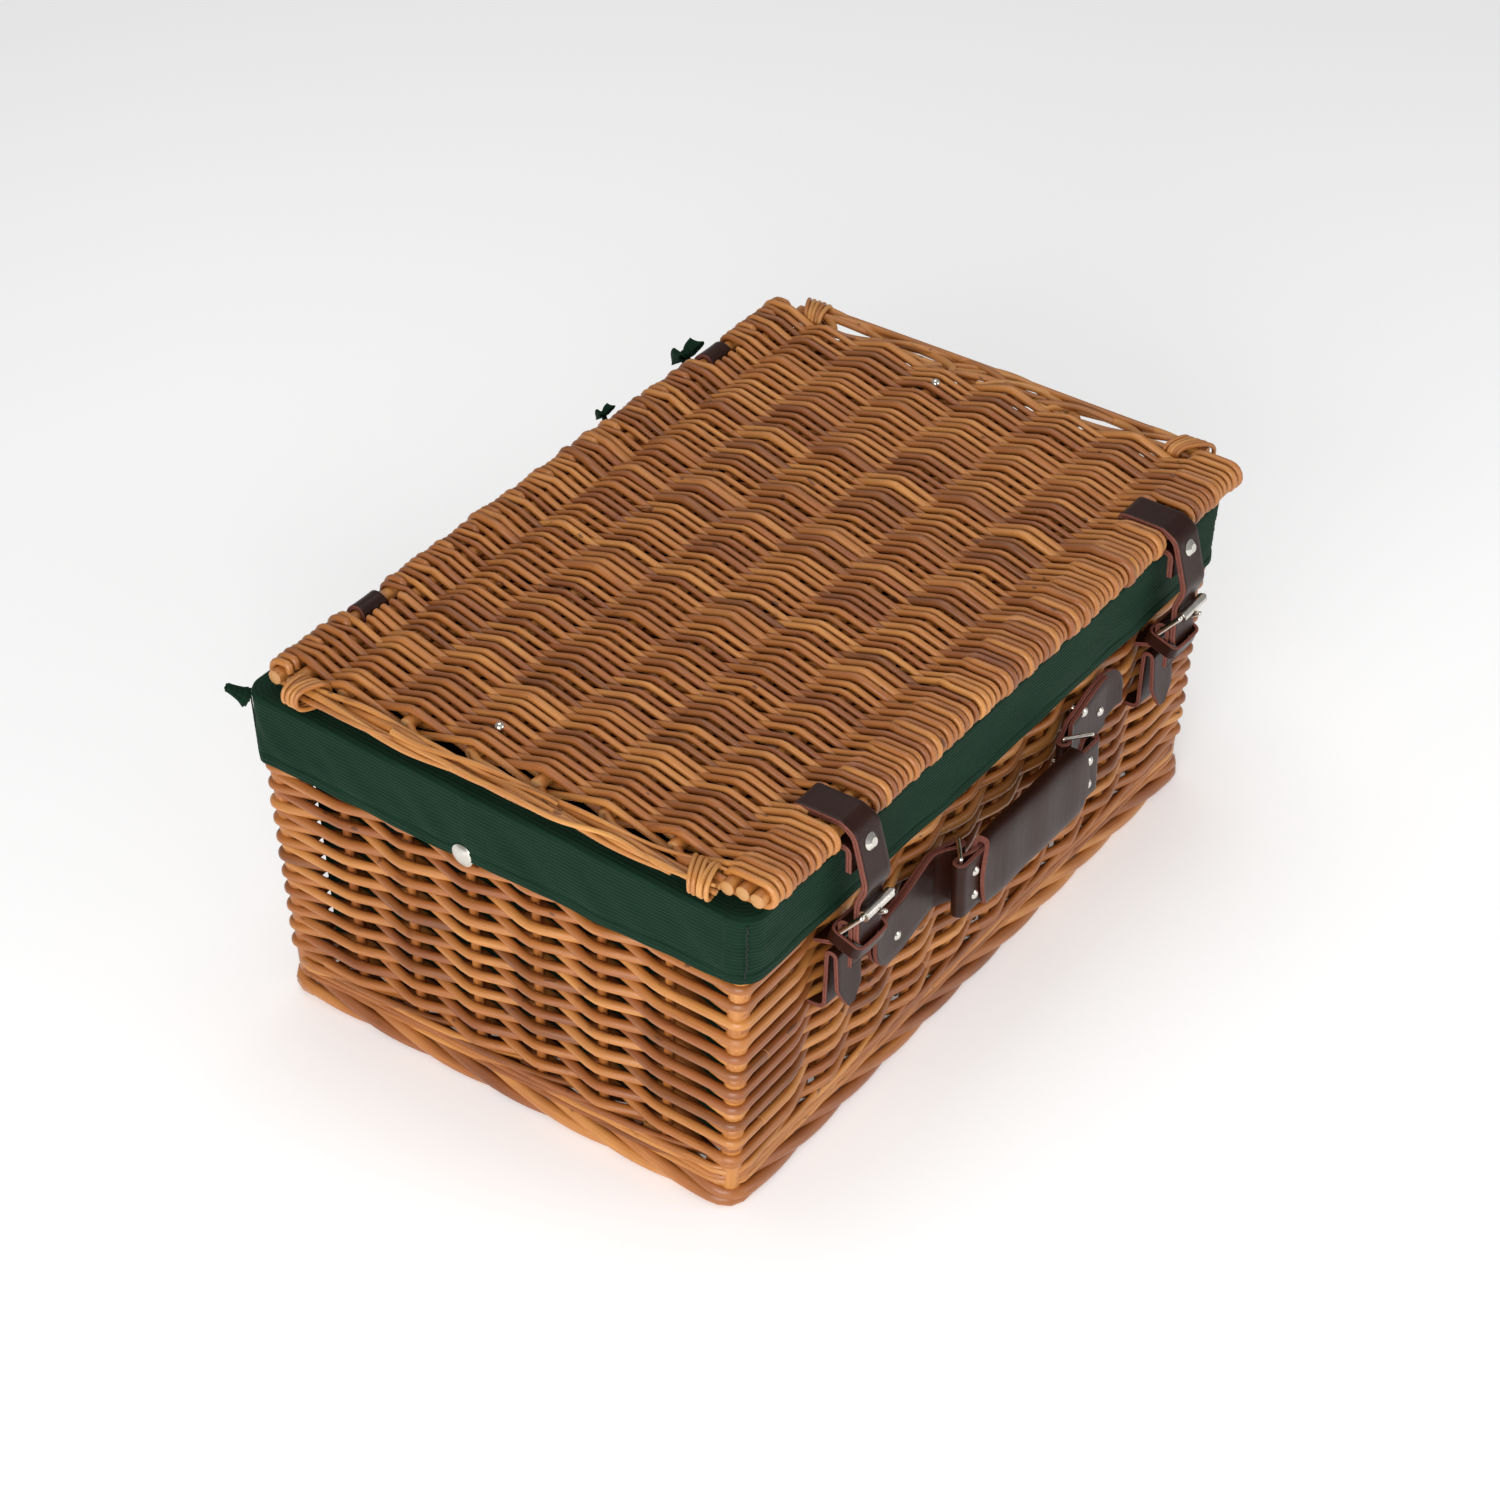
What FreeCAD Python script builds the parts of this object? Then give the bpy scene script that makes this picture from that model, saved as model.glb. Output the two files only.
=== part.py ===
import FreeCAD, Part
import math
import os

from FreeCAD import Vector

# A lidded willow hamper with a buttoned cloth lining, leather hinge loops, two buckled leather
# straps and a leather carrying handle on its front wall.  Millimetres, +Z up.  The long side and
# the hinge line run along X, the front (straps, buckles, handle) faces -Y, the hinges are at +Y.
# Everything is laid out about the middle of the basket's floor; at the end the whole model is
# moved so that the origin is the middle of its footprint, on the floor.

# ---- basket ----
BASKET_LENGTH = 434.0        # outside, end wall to end wall
BASKET_WIDTH_FLOOR = 286.0   # outside, front to back, at the floor
BASKET_WIDTH_RIM = 306.0     # outside, front to back, at the rim
RIM_HEIGHT = 191.0           # floor to the top of the border round the rim
WALL = 16.0                  # stake plus a weaver on each side of it
STAKE = 6.0                  # diameter of an upright stake
POST = 12.0                  # diameter of a corner post
CORNER_ROUND = 11.0          # outside radius of a woven corner
FRONT_STAKES = 10
END_STAKES = 6
FOOT_HEIGHT = 10.0
FOOT_PROUD = 4.0             # how far the foot border stands out beyond the wall
WALING_HEIGHT = 14.0
RIM_BORDER = 8.0
BASE_UNDERSIDE = 4.0         # gap under the woven base
BASE_STICK = 8.0
BASE_STICKS = 7
BASE_WEAVER = 4.0
FIT = 0.3                    # gap between woven panels that are laced together

# ---- lid ----
LID_OVERHANG = 13.0          # lid beyond each end wall, before it is shifted
LID_WIDTH = 308.6
LID_RISE = 20.6              # rim to the highest point of the lid
LID_SHIFT_X = 6.4            # the lid sits a little off the basket, along X
LID_SHIFT_Y = -8.3           # and a little to the front
LID_STICK = 8.0
LID_WEAVER = 4.3
LID_STICKS = 6               # single sticks between the two edge groups
LID_STICK_PITCH = 40.2
LID_FIRST_STICK = 61.8       # front edge to the first single stick
HINGE_ROOM = 0.8             # room left between the hinge leather and the stick beside it
LID_BORDER_ROD = 4.6
LID_BORDER_RODS = (4, 3)     # rods beside the left and right ends of the weaving
LID_STICK_STUB = 11.0        # edge sticks stop this far inside the lid's ends
LID_WHIP_STUB = 12.5         # and the whipping round them stops here
TIE_BAND = 9.0               # width of a corner lashing
TIE_THICK = 1.8
LID_RIVET_REACH = 191.0      # lid rivets: from the lid's middle, along X
LID_RIVET_BACK = 26.0        # and behind its middle

# ---- leather and metal ----
STRAP_SPREAD = 148.0         # each strap and hinge: from the lid's middle, along X
STRAP_WIDTH = 20.0
STRAP_THICK = 3.6
LEATHER = 2.6                # hinge loops, buckle leathers, handle leathers
PLAY = 0.3                   # gap between leather and what it goes round
SLOT_PLAY = 1.5              # room round a leather where it goes through the weave
WIRE = 2.8                   # buckle wire
ROLLER = 5.6
BUCKLE_BAR_DROP = 42.5       # rim down to the bar of the buckle
BUCKLE_BAR_OUT = 162.0       # bar: distance in front of the basket's middle
STRAP_GAP = 0.18             # between the strap and the leather that holds the buckle
BUCKLE_RISE = 50.3           # angle of the frame above the horizontal
BUCKLE_ROOM = 3.0            # inside width of the frame beyond the strap
PRONG = 2.4
PRONG_REACH = 20.0
HOLE = 3.6
HOLE_PITCH = 13.0
CAP = 9.0                    # head of a strap rivet
HINGE_RIVET = 4.0

# ---- handle ----
HANDLE_Z = 116.0
TAB_WIDTH = 33.0
TAB_BAR_X = 50.0             # bar of the wire loop that the tab holds
TAB_BAR_OUT = 160.5
TAB_REACH = 51.0             # bar to the middle of the tab's round end
TAB_END_DROP = (-10.5, 11.5)  # how far the round end sits above the bar, left and right
GRIP_BAR_X = 62.0
GRIP_SLACK = 3.0             # the wire can slip this far inwards in the grip's folded ends
GRIP_BAR_OUT = 170.0
LOOP_WIRE = 2.5
GRIP_LENGTH = 100.0
GRIP_HEIGHT = 44.0
GRIP_SKIN = 2.6
SMALL_RIVET = 3.0
RIVET_HEAD = 5.5
TAB_RIVETS_LEFT = ((-60.0, 124.5), (-61.5, 111.0), (-97.0, 103.0))
TAB_RIVETS_RIGHT = ((60.0, 110.0), (76.0, 134.0), (93.0, 124.0))

# ---- lining ----
CLOTH = 2.0
CLOTH_GAP = 1.0              # lining to wall
CUFF_DEPTH = 41.0            # rim down to the hem
BAG_FLOOR_GAP = 0.5
SNAP = 13.0
SNAP_Y = 15.5
SNAP_DROP = 37.5             # rim down to the press stud
TIE_TAILS = (155.0, 80.0)    # fabric tie tails at the back, along X
TIE_TAIL_WIDTH = 16.0
TIE_TAIL_RISE = 19.0         # rim up to the top of the tails
TIE_TAIL_DROP = 32.0

# ---- worked out ----
HALF_LENGTH = BASKET_LENGTH / 2
LEAN = (BASKET_WIDTH_RIM - BASKET_WIDTH_FLOOR) / 2 / RIM_HEIGHT
FOOT_TOP = FOOT_HEIGHT
WALING_TOP = FOOT_TOP + WALING_HEIGHT
WEAVE_TOP = RIM_HEIGHT - RIM_BORDER
LID_LENGTH = BASKET_LENGTH + 2 * LID_OVERHANG
LID_TOP = RIM_HEIGHT + LID_RISE
LID_MID = LID_TOP - LID_WEAVER - LID_STICK / 2
LID_HALF_THICK = LID_STICK / 2 + LID_WEAVER
LID_FRONT = LID_SHIFT_Y - LID_WIDTH / 2
LID_BACK = LID_SHIFT_Y + LID_WIDTH / 2
LID_LEFT = LID_SHIFT_X - LID_LENGTH / 2
LID_RIGHT = LID_SHIFT_X + LID_LENGTH / 2
HINGE_Y = LID_BACK - LID_WEAVER - LID_STICK / 2
HINGE_STICK_GAP = LEATHER + HINGE_ROOM
CUFF_BOTTOM = RIM_HEIGHT - CUFF_DEPTH
SNAP_Z = RIM_HEIGHT - SNAP_DROP
TIE_TAIL_TOP = RIM_HEIGHT + TIE_TAIL_RISE
BUCKLE_BAR_Z = RIM_HEIGHT - BUCKLE_BAR_DROP
BUCKLE_INSIDE = STRAP_WIDTH + BUCKLE_ROOM
BUCKLE_STACK = WIRE / 2 + PLAY + LEATHER + STRAP_GAP + STRAP_THICK + PLAY + ROLLER / 2
BUCKLE_REACH = BUCKLE_STACK / math.cos(math.radians(BUCKLE_RISE))  # bar to roller
STRAP_X = (LID_SHIFT_X - STRAP_SPREAD, LID_SHIFT_X + STRAP_SPREAD)
SIDES = ("left", "right")
PRONG_RISE = BUCKLE_RISE - math.degrees(math.asin((ROLLER / 2 + PRONG / 2 + PLAY) / BUCKLE_REACH))

nodes = {}


def half_width(z):
    """Outside of the front or back wall at height z, measured from the middle."""
    return BASKET_WIDTH_FLOOR / 2 + LEAN * z


def box(x0, x1, y0, y1, z0, z1):
    return Part.makeBox(x1 - x0, y1 - y0, z1 - z0, Vector(x0, y0, z0))


def rod(start, end, diameter):
    line = end - start
    return Part.makeCylinder(diameter / 2, line.Length, start, line)


def prism_x(outline, x0, x1):
    """Straight-sided outline of (y, z) points, pulled from x0 to x1."""
    corners = [Vector(x0, y, z) for y, z in outline]
    face = Part.Face(Part.makePolygon(corners + corners[:1]))
    return face.extrude(Vector(x1 - x0, 0, 0))


def yz(u, v):
    return Vector(0, u, v)


def xy(u, v):
    return Vector(u, v, 0)


def turn_left(v):
    return (-v[1], v[0])


def unit(a, b):
    length = math.hypot(b[0] - a[0], b[1] - a[1])
    return ((b[0] - a[0]) / length, (b[1] - a[1]) / length)


def straight(edges, a, b, place):
    """Adds the straight run between two bends, if there is one."""
    if math.hypot(b[0] - a[0], b[1] - a[1]) > 1e-4:
        edges.append(Part.makeLine(place(*a), place(*b)))


def strip_side(points, radii, shift, place):
    """One side of a bent strip: the path moved sideways by shift, its bends kept concentric."""
    runs = [unit(a, b) for a, b in zip(points, points[1:])]
    edges = []
    normal = turn_left(runs[0])
    last = (points[0][0] + shift * normal[0], points[0][1] + shift * normal[1])
    for corner, radius, before, after in zip(points[1:], radii, runs, runs[1:]):
        turn = before[0] * after[1] - before[1] * after[0]
        side = 1.0 if turn > 0 else -1.0
        angle = math.atan2(turn, before[0] * after[0] + before[1] * after[1])
        tangent = radius * math.tan(abs(angle) / 2)
        normal = turn_left(before)
        middle = (corner[0] - tangent * before[0] + side * radius * normal[0],
                  corner[1] - tangent * before[1] + side * radius * normal[1])
        reach = radius - side * shift
        arc = []
        for share in (0.0, 0.5, 1.0):
            swing = math.atan2(-side * normal[1], -side * normal[0]) + share * angle
            arc.append((middle[0] + reach * math.cos(swing), middle[1] + reach * math.sin(swing)))
        straight(edges, last, arc[0], place)
        edges.append(Part.Arc(*[place(*p) for p in arc]).toShape())
        last = arc[2]
    normal = turn_left(runs[-1])
    end = (points[-1][0] + shift * normal[0], points[-1][1] + shift * normal[1])
    straight(edges, last, end, place)
    return edges


def bent_strip(points, radii, thick, place):
    """Face of a leather strip seen edge-on: a path with rounded bends, given a thickness."""
    one = strip_side(points, radii, thick / 2, place)
    other = strip_side(points, radii, -thick / 2, place)
    start = Part.makeLine(other[0].Vertexes[0].Point, one[0].Vertexes[0].Point)
    end = Part.makeLine(one[-1].Vertexes[-1].Point, other[-1].Vertexes[-1].Point)
    return Part.Face(Part.Wire(Part.__sortEdges__(one + other + [start, end])))


def strap_piece(points, radii, thick, x_middle, width):
    """A strip that runs in a YZ plane, width wide along X."""
    solid = bent_strip(points, radii, thick, yz).extrude(Vector(width, 0, 0))
    solid.translate(Vector(x_middle - width / 2, 0, 0))
    return solid


def rounded_block(half_x, half_y, z0, z1, radius):
    block = box(-half_x, half_x, -half_y, half_y, z0, z1)
    upright = [e for e in block.Edges if abs(e.BoundBox.ZLength - (z1 - z0)) < 0.01]
    return block.makeFillet(radius, upright)


def tapered_block(grow, z0, z1, radius):
    """Block with the walls' lean, grow outside the walls all round."""
    wires = []
    for z in (z0, z1):
        slab = rounded_block(HALF_LENGTH + grow, half_width(z) + grow, z, z + 1, radius)
        low = min(slab.Faces, key=lambda f: f.CenterOfMass.z)
        wires.append(low.OuterWire)
    return Part.makeLoft(wires, True, True)


def stake_places():
    """Foot and head of every upright stake, by wall."""
    post_x = HALF_LENGTH - WALL / 2
    front_pitch = 2 * post_x / (FRONT_STAKES + 1)
    places = {"front": [], "back": [], "left": [], "right": []}
    for i in range(FRONT_STAKES):
        x = -post_x + front_pitch * (i + 1)
        for name, way in (("front", -1), ("back", 1)):
            ends = [Vector(x, way * (half_width(z) - WALL / 2), z) for z in (FOOT_TOP, WEAVE_TOP)]
            places[name].append(ends)
    for i in range(END_STAKES):
        share = 2 * (i + 1) / (END_STAKES + 1) - 1
        for name, way in (("left", -1), ("right", 1)):
            ends = [Vector(way * post_x, share * (half_width(z) - WALL / 2), z)
                    for z in (FOOT_TOP, WEAVE_TOP)]
            places[name].append(ends)
    return places


def corner_post_places():
    post_x = HALF_LENGTH - WALL / 2
    places = []
    for x in (-post_x, post_x):
        for way in (-1, 1):
            places.append([Vector(x, way * (half_width(z) - WALL / 2), z)
                           for z in (FOOT_TOP, WEAVE_TOP)])
    return places


def through(ends, diameter, extra=4.0):
    """Boring tool along a stake, a little longer than the stake."""
    way = (ends[1] - ends[0]).normalize()
    return rod(ends[0] - way * extra, ends[1] + way * extra, diameter)


# ---- basket: base, foot, waling, stakes, woven walls, rim ----
def build_basket():
    stakes = stake_places()
    posts = corner_post_places()
    reach = HALF_LENGTH + WALL
    between = box(-reach, reach, -reach, reach, FOOT_TOP, WEAVE_TOP)
    for name, ends in stakes.items():
        nodes["stakes_" + name] = Part.makeCompound([through(e, STAKE).common(between) for e in ends])
    nodes["corner_posts"] = Part.makeCompound([through(e, POST).common(between) for e in posts])
    bores = [through(ends, POST) for ends in posts]
    for group in stakes.values():
        bores += [through(ends, STAKE) for ends in group]

    foot = rounded_block(HALF_LENGTH + FOOT_PROUD, half_width(0) + FOOT_PROUD, 0, FOOT_TOP,
                         CORNER_ROUND + FOOT_PROUD)
    inner_x = HALF_LENGTH - WALL
    inner_y = half_width(0) - WALL
    nodes["foot_border"] = foot.cut(box(-inner_x, inner_x, -inner_y, inner_y, -1, FOOT_TOP + 1))

    waling = tapered_block(0, FOOT_TOP, WALING_TOP, CORNER_ROUND)
    waling_y = half_width(FOOT_TOP) - WALL
    waling = waling.cut(box(-inner_x, inner_x, -waling_y, waling_y, 0, WALING_TOP + 1))
    nodes["waling"] = waling.cut(bores)

    rim = tapered_block(0, WEAVE_TOP, RIM_HEIGHT, CORNER_ROUND)
    rim_y = half_width(WEAVE_TOP) - WALL
    rim = rim.cut(box(-inner_x, inner_x, -rim_y, rim_y, WEAVE_TOP - 1, RIM_HEIGHT + 1))
    nodes["rim_border"] = rim

    ring = tapered_block(0, WALING_TOP, WEAVE_TOP, CORNER_ROUND)
    for name, way in (("front", -1), ("back", 1)):
        outline = [(way * (half_width(z) + 1), z) for z in (WALING_TOP, WEAVE_TOP)]
        outline += [(way * (half_width(z) - WALL), z) for z in (WEAVE_TOP, WALING_TOP)]
        slab = ring.common(prism_x(outline, -HALF_LENGTH - 1, HALF_LENGTH + 1))
        nodes["weave_" + name] = slab.cut(bores)
    for name, way in (("left", -1), ("right", 1)):
        outline = [(half_width(z) - WALL, z) for z in (WALING_TOP, WEAVE_TOP)]
        outline += [(WALL - half_width(z), z) for z in (WEAVE_TOP, WALING_TOP)]
        x_ends = sorted((way * HALF_LENGTH, way * inner_x))
        nodes["weave_" + name] = prism_x(outline, *x_ends).cut(bores)

    base_x = inner_x - FIT
    base_y = inner_y - FIT
    base_top = BASE_UNDERSIDE + BASE_STICK + 2 * BASE_WEAVER
    stick_z = BASE_UNDERSIDE + BASE_WEAVER + BASE_STICK / 2
    base = box(-base_x, base_x, -base_y, base_y, BASE_UNDERSIDE, base_top)
    sticks = []
    for i in range(BASE_STICKS):
        y = (2 * (i + 0.5) / BASE_STICKS - 1) * base_y
        sticks.append(rod(Vector(-base_x, y, stick_z), Vector(base_x, y, stick_z), BASE_STICK))
    nodes["base_sticks"] = Part.makeCompound(sticks)
    nodes["base_weave"] = base.cut([through([Vector(-base_x, s.CenterOfMass.y, stick_z),
                                             Vector(base_x, s.CenterOfMass.y, stick_z)],
                                            BASE_STICK) for s in sticks])
    return base_top


# ---- lid ----
def lid_stick_rows():
    """Middles of the lid's sticks across Y: front group, single sticks, hinge pair."""
    first = LID_FRONT + LID_WEAVER + LID_STICK / 2
    front = [first + i * (LID_STICK + FIT) for i in range(3)]
    single = [LID_FRONT + LID_FIRST_STICK + i * LID_STICK_PITCH for i in range(LID_STICKS)]
    hinge = [HINGE_Y, HINGE_Y - LID_STICK - HINGE_STICK_GAP]
    return front, single, hinge


def whipped_edge(round_y, flat_y, x0, x1):
    """Weaving turned round the outermost stick at round_y and flat-faced at flat_y."""
    reach = math.copysign(LID_HALF_THICK, round_y - flat_y)
    low = LID_MID - LID_HALF_THICK
    high = LID_MID + LID_HALF_THICK
    curve = Part.Arc(yz(round_y, low), yz(round_y + reach, LID_MID), yz(round_y, high)).toShape()
    sides = Part.makePolygon([yz(round_y, high), yz(flat_y, high), yz(flat_y, low), yz(round_y, low)])
    face = Part.Face(Part.Wire([curve] + sides.Edges))
    solid = face.extrude(Vector(x1 - x0, 0, 0))
    solid.translate(Vector(x0, 0, 0))
    return solid


def build_lid():
    front, single, hinge = lid_stick_rows()
    border = LID_BORDER_ROD * LID_BORDER_RODS[0]
    weave_left = LID_LEFT + border
    weave_right = LID_RIGHT - border
    sticks = []
    bores = []
    for y in front + single + hinge:
        reach = 0.0 if y in single else border - LID_STICK_STUB
        a = Vector(weave_left - reach, y, LID_MID)
        b = Vector(weave_right + reach, y, LID_MID)
        sticks.append(rod(a, b, LID_STICK))
        bores.append(through([a, b], LID_STICK))
    low = LID_MID - LID_HALF_THICK
    high = LID_MID + LID_HALF_THICK
    whip = border - LID_WHIP_STUB
    front_flat = front[-1] + LID_STICK / 2
    back_flat = hinge[1] - LID_STICK / 2
    middle = box(weave_left, weave_right, front_flat, back_flat, low, high)
    rims = [whipped_edge(front[0], front_flat, weave_left - whip, weave_right + whip),
            whipped_edge(HINGE_Y, back_flat, weave_left - whip, weave_right + whip)]
    weave = middle.fuse(rims).cut(bores)
    half = STRAP_WIDTH / 2 + SLOT_PLAY
    strap_back = front[-1] + LID_STICK / 2 + PLAY + STRAP_THICK + SLOT_PLAY
    hinge_front = HINGE_Y - LID_STICK / 2 - PLAY - LEATHER - SLOT_PLAY / 2
    windows = []
    for x in STRAP_X:
        windows.append(box(x - half, x + half, LID_FRONT - 1, strap_back, low - 1, high + 1))
        windows.append(box(x - half, x + half, hinge_front, LID_BACK + 1, low - 1, high + 1))

    rivets = []
    shanks = []
    y = LID_SHIFT_Y + LID_RIVET_BACK
    for side, way in zip(SIDES, (-1, 1)):
        x = LID_SHIFT_X + way * LID_RIVET_REACH
        shank = rod(Vector(x, y, low), Vector(x, y, high), SMALL_RIVET)
        head = Part.makeSphere(RIVET_HEAD / 2, Vector(x, y, high - 0.5))
        head = head.common(box(x - 9, x + 9, y - 9, y + 9, high - 0.5, high + 9))
        head.translate(Vector(0, 0, 0.5 - RIVET_HEAD / 2))
        head = head.fuse(rod(Vector(x, y, high - RIVET_HEAD / 2 - 1), Vector(x, y, high - RIVET_HEAD / 2),
                             RIVET_HEAD))
        washer = rod(Vector(x, y, low), Vector(x, y, low + 1.2), 2 * RIVET_HEAD)
        rivet = shank.common(box(x - 9, x + 9, y - 9, y + 9, low, high - RIVET_HEAD / 2)).fuse([head, washer])
        rivet = rivet.removeSplitter()
        nodes["lid_rivet_" + side] = rivet
        rivets.append(rivet)
        shanks.append(rod(Vector(x, y, high - RIVET_HEAD / 2 - 1), Vector(x, y, high + 1), RIVET_HEAD))
    nodes["lid_sticks"] = Part.makeCompound(sticks).cut(rivets)
    nodes["lid_weave"] = weave.cut(windows + rivets + shanks)

    ties = []
    for side, edge, way, count in (("left", LID_LEFT, 1, LID_BORDER_RODS[0]),
                                   ("right", LID_RIGHT, -1, LID_BORDER_RODS[1])):
        first_y = front[-1] + LID_STICK / 2 + FIT
        last_y = hinge[1] - LID_STICK / 2 - FIT
        rods = []
        for i in range(count):
            x = edge + way * (i + 0.5) * LID_BORDER_ROD
            rods.append(rod(Vector(x, first_y, LID_MID), Vector(x, last_y, LID_MID), LID_BORDER_ROD - FIT))
        nodes["lid_end_" + side] = Part.makeCompound(rods)
        half_x = LID_BORDER_ROD * count / 2
        middle = edge + way * half_x
        half_z = LID_BORDER_ROD / 2 + FIT
        for y in (first_y + TIE_BAND, last_y - TIE_BAND):
            outer = box(middle - half_x - TIE_THICK + FIT, middle + half_x - FIT, y - TIE_BAND / 2,
                        y + TIE_BAND / 2, LID_MID - half_z - TIE_THICK, LID_MID + half_z + TIE_THICK)
            if way < 0:
                outer.translate(Vector(TIE_THICK, 0, 0))
            inner = box(middle - half_x, middle + half_x, y - TIE_BAND, y + TIE_BAND,
                        LID_MID - half_z, LID_MID + half_z)
            ties.append(outer.cut(inner))
    nodes["lid_corner_ties"] = Part.makeCompound(ties)


# ---- hinge loops ----
def build_hinges():
    """A leather loop round the lid's hinge stick, its two ends riveted inside the back wall."""
    inside = LID_STICK / 2 + PLAY
    outside = inside + LEATHER
    foot_z = RIM_HEIGHT - 17.0
    foot_y = half_width(foot_z) - WALL / 2
    way = Vector(0, foot_y - HINGE_Y, foot_z - LID_MID).normalize()
    length = (LID_MID - foot_z) / -way.z
    lean = math.degrees(math.atan2(way.y, -way.z))
    for side, x in zip(SIDES, STRAP_X):
        left = Vector(x - STRAP_WIDTH / 2, HINGE_Y, LID_MID)
        ring = Part.makeCylinder(outside, STRAP_WIDTH, left, Vector(1, 0, 0))
        tail = box(0, STRAP_WIDTH, -LEATHER, LEATHER, -length - 4, 0)
        slot = box(-PLAY, STRAP_WIDTH + PLAY, -LEATHER - PLAY, LEATHER + PLAY, -length - 5, 0)
        for piece in (tail, slot):
            piece.rotate(Vector(0, 0, 0), Vector(1, 0, 0), lean)
            piece.translate(left)
        bore = Part.makeCylinder(inside, STRAP_WIDTH + 2, left - Vector(1, 0, 0), Vector(1, 0, 0))
        centre = Vector(x, foot_y, foot_z + 2)
        shank = rod(centre - Vector(0, WALL / 2, 0), centre + Vector(0, WALL / 2, 0), HINGE_RIVET)
        heads = [rod(centre + Vector(0, s * WALL / 2, 0), centre + Vector(0, s * (WALL / 2 - 1.2), 0),
                     2 * HINGE_RIVET) for s in (-1, 1)]
        rivet = shank.fuse(heads).removeSplitter()
        nodes["hinge_loop_" + side] = ring.fuse(tail).cut(bore).removeSplitter().cut(rivet)
        nodes["hinge_rivet_" + side] = rivet
        for name in ("weave_back", "rim_border", "liner_cuff", "stakes_back"):
            nodes[name] = nodes[name].cut([slot, rivet])


# ---- lining ----
def build_lining(base_top):
    grow = CLOTH_GAP + CLOTH
    skirt = tapered_block(grow, CUFF_BOTTOM, RIM_HEIGHT + FIT + CLOTH, CORNER_ROUND + grow)
    keep_out = tapered_block(CLOTH_GAP, CUFF_BOTTOM - 1, RIM_HEIGHT + FIT, CORNER_ROUND + CLOTH_GAP)
    mouth_grow = -(WALL + CLOTH_GAP + CLOTH)
    mouth_x = HALF_LENGTH + mouth_grow
    mouth_y = half_width(RIM_HEIGHT) + mouth_grow
    mouth = box(-mouth_x, mouth_x, -mouth_y, mouth_y, CUFF_BOTTOM, RIM_HEIGHT + 9)
    cuff = skirt.cut(keep_out).cut(mouth)

    snap_x = -HALF_LENGTH - CLOTH_GAP
    cap = Part.makeSphere(SNAP, Vector(0, 0, 0))
    sink = math.sqrt(SNAP ** 2 - (SNAP / 2) ** 2)
    cap = cap.common(box(-2 * SNAP, -sink, -SNAP, SNAP, -SNAP, SNAP))
    cap.translate(Vector(snap_x - CLOTH + sink, SNAP_Y, SNAP_Z))
    post = rod(Vector(snap_x - CLOTH, SNAP_Y, SNAP_Z), Vector(snap_x, SNAP_Y, SNAP_Z), SMALL_RIVET)
    socket = rod(Vector(snap_x, SNAP_Y, SNAP_Z), Vector(snap_x + CLOTH_GAP * 0.8, SNAP_Y, SNAP_Z), SNAP * 0.6)
    nodes["liner_snap"] = cap.fuse([post, socket]).removeSplitter()
    nodes["liner_cuff"] = cuff.cut(post)

    bag_grow = -(WALL + CLOTH_GAP)
    bag_low = base_top + BAG_FLOOR_GAP
    outer = tapered_block(bag_grow, bag_low, RIM_HEIGHT + FIT, 1.0)
    inner = tapered_block(bag_grow - CLOTH, bag_low + CLOTH, RIM_HEIGHT + 9, 0.5)
    nodes["liner_bag"] = outer.cut(inner)

    for i, x in enumerate(TIE_TAILS):
        outline = [(half_width(z) + grow + FIT, z) for z in (TIE_TAIL_TOP - TIE_TAIL_DROP, TIE_TAIL_TOP)]
        outline += [(y + CLOTH, z) for y, z in reversed(outline)]
        tail = prism_x(outline, x - TIE_TAIL_WIDTH / 2, x + TIE_TAIL_WIDTH / 2)
        nodes["liner_tie_%d" % (i + 1)] = tail


# ---- straps and buckles ----
def strap_route():
    """Middle of a lid strap in the YZ plane: round the front edge sticks, then down to the tip."""
    front = lid_stick_rows()[0]
    half = STRAP_THICK / 2
    over = LID_MID + LID_STICK / 2 + PLAY + half
    under = LID_MID - LID_STICK / 2 - PLAY - half
    inner = front[-1] + LID_STICK / 2 + PLAY + half
    edge = front[0] - LID_STICK / 2
    roller_y = -BUCKLE_BAR_OUT - BUCKLE_REACH * math.cos(math.radians(BUCKLE_RISE))
    hang = roller_y + ROLLER / 2 + PLAY + half
    tail = edge - 4.9
    points = [(tail, under - 14.2), (tail, under), (inner, under), (inner, over), (edge + 0.8, over),
              (edge - 7.0, LID_MID + 2.2), (edge - 11.0, LID_MID - 12.8), (edge - 14.5, LID_MID - 26.3),
              (hang, BUCKLE_BAR_Z + 17.5), (hang, BUCKLE_BAR_Z - 11.5)]
    radii = [3.0, 3.0, 3.0, 4.0, 4.0, 20.0, 12.0, 10.0]
    return points, radii


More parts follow.
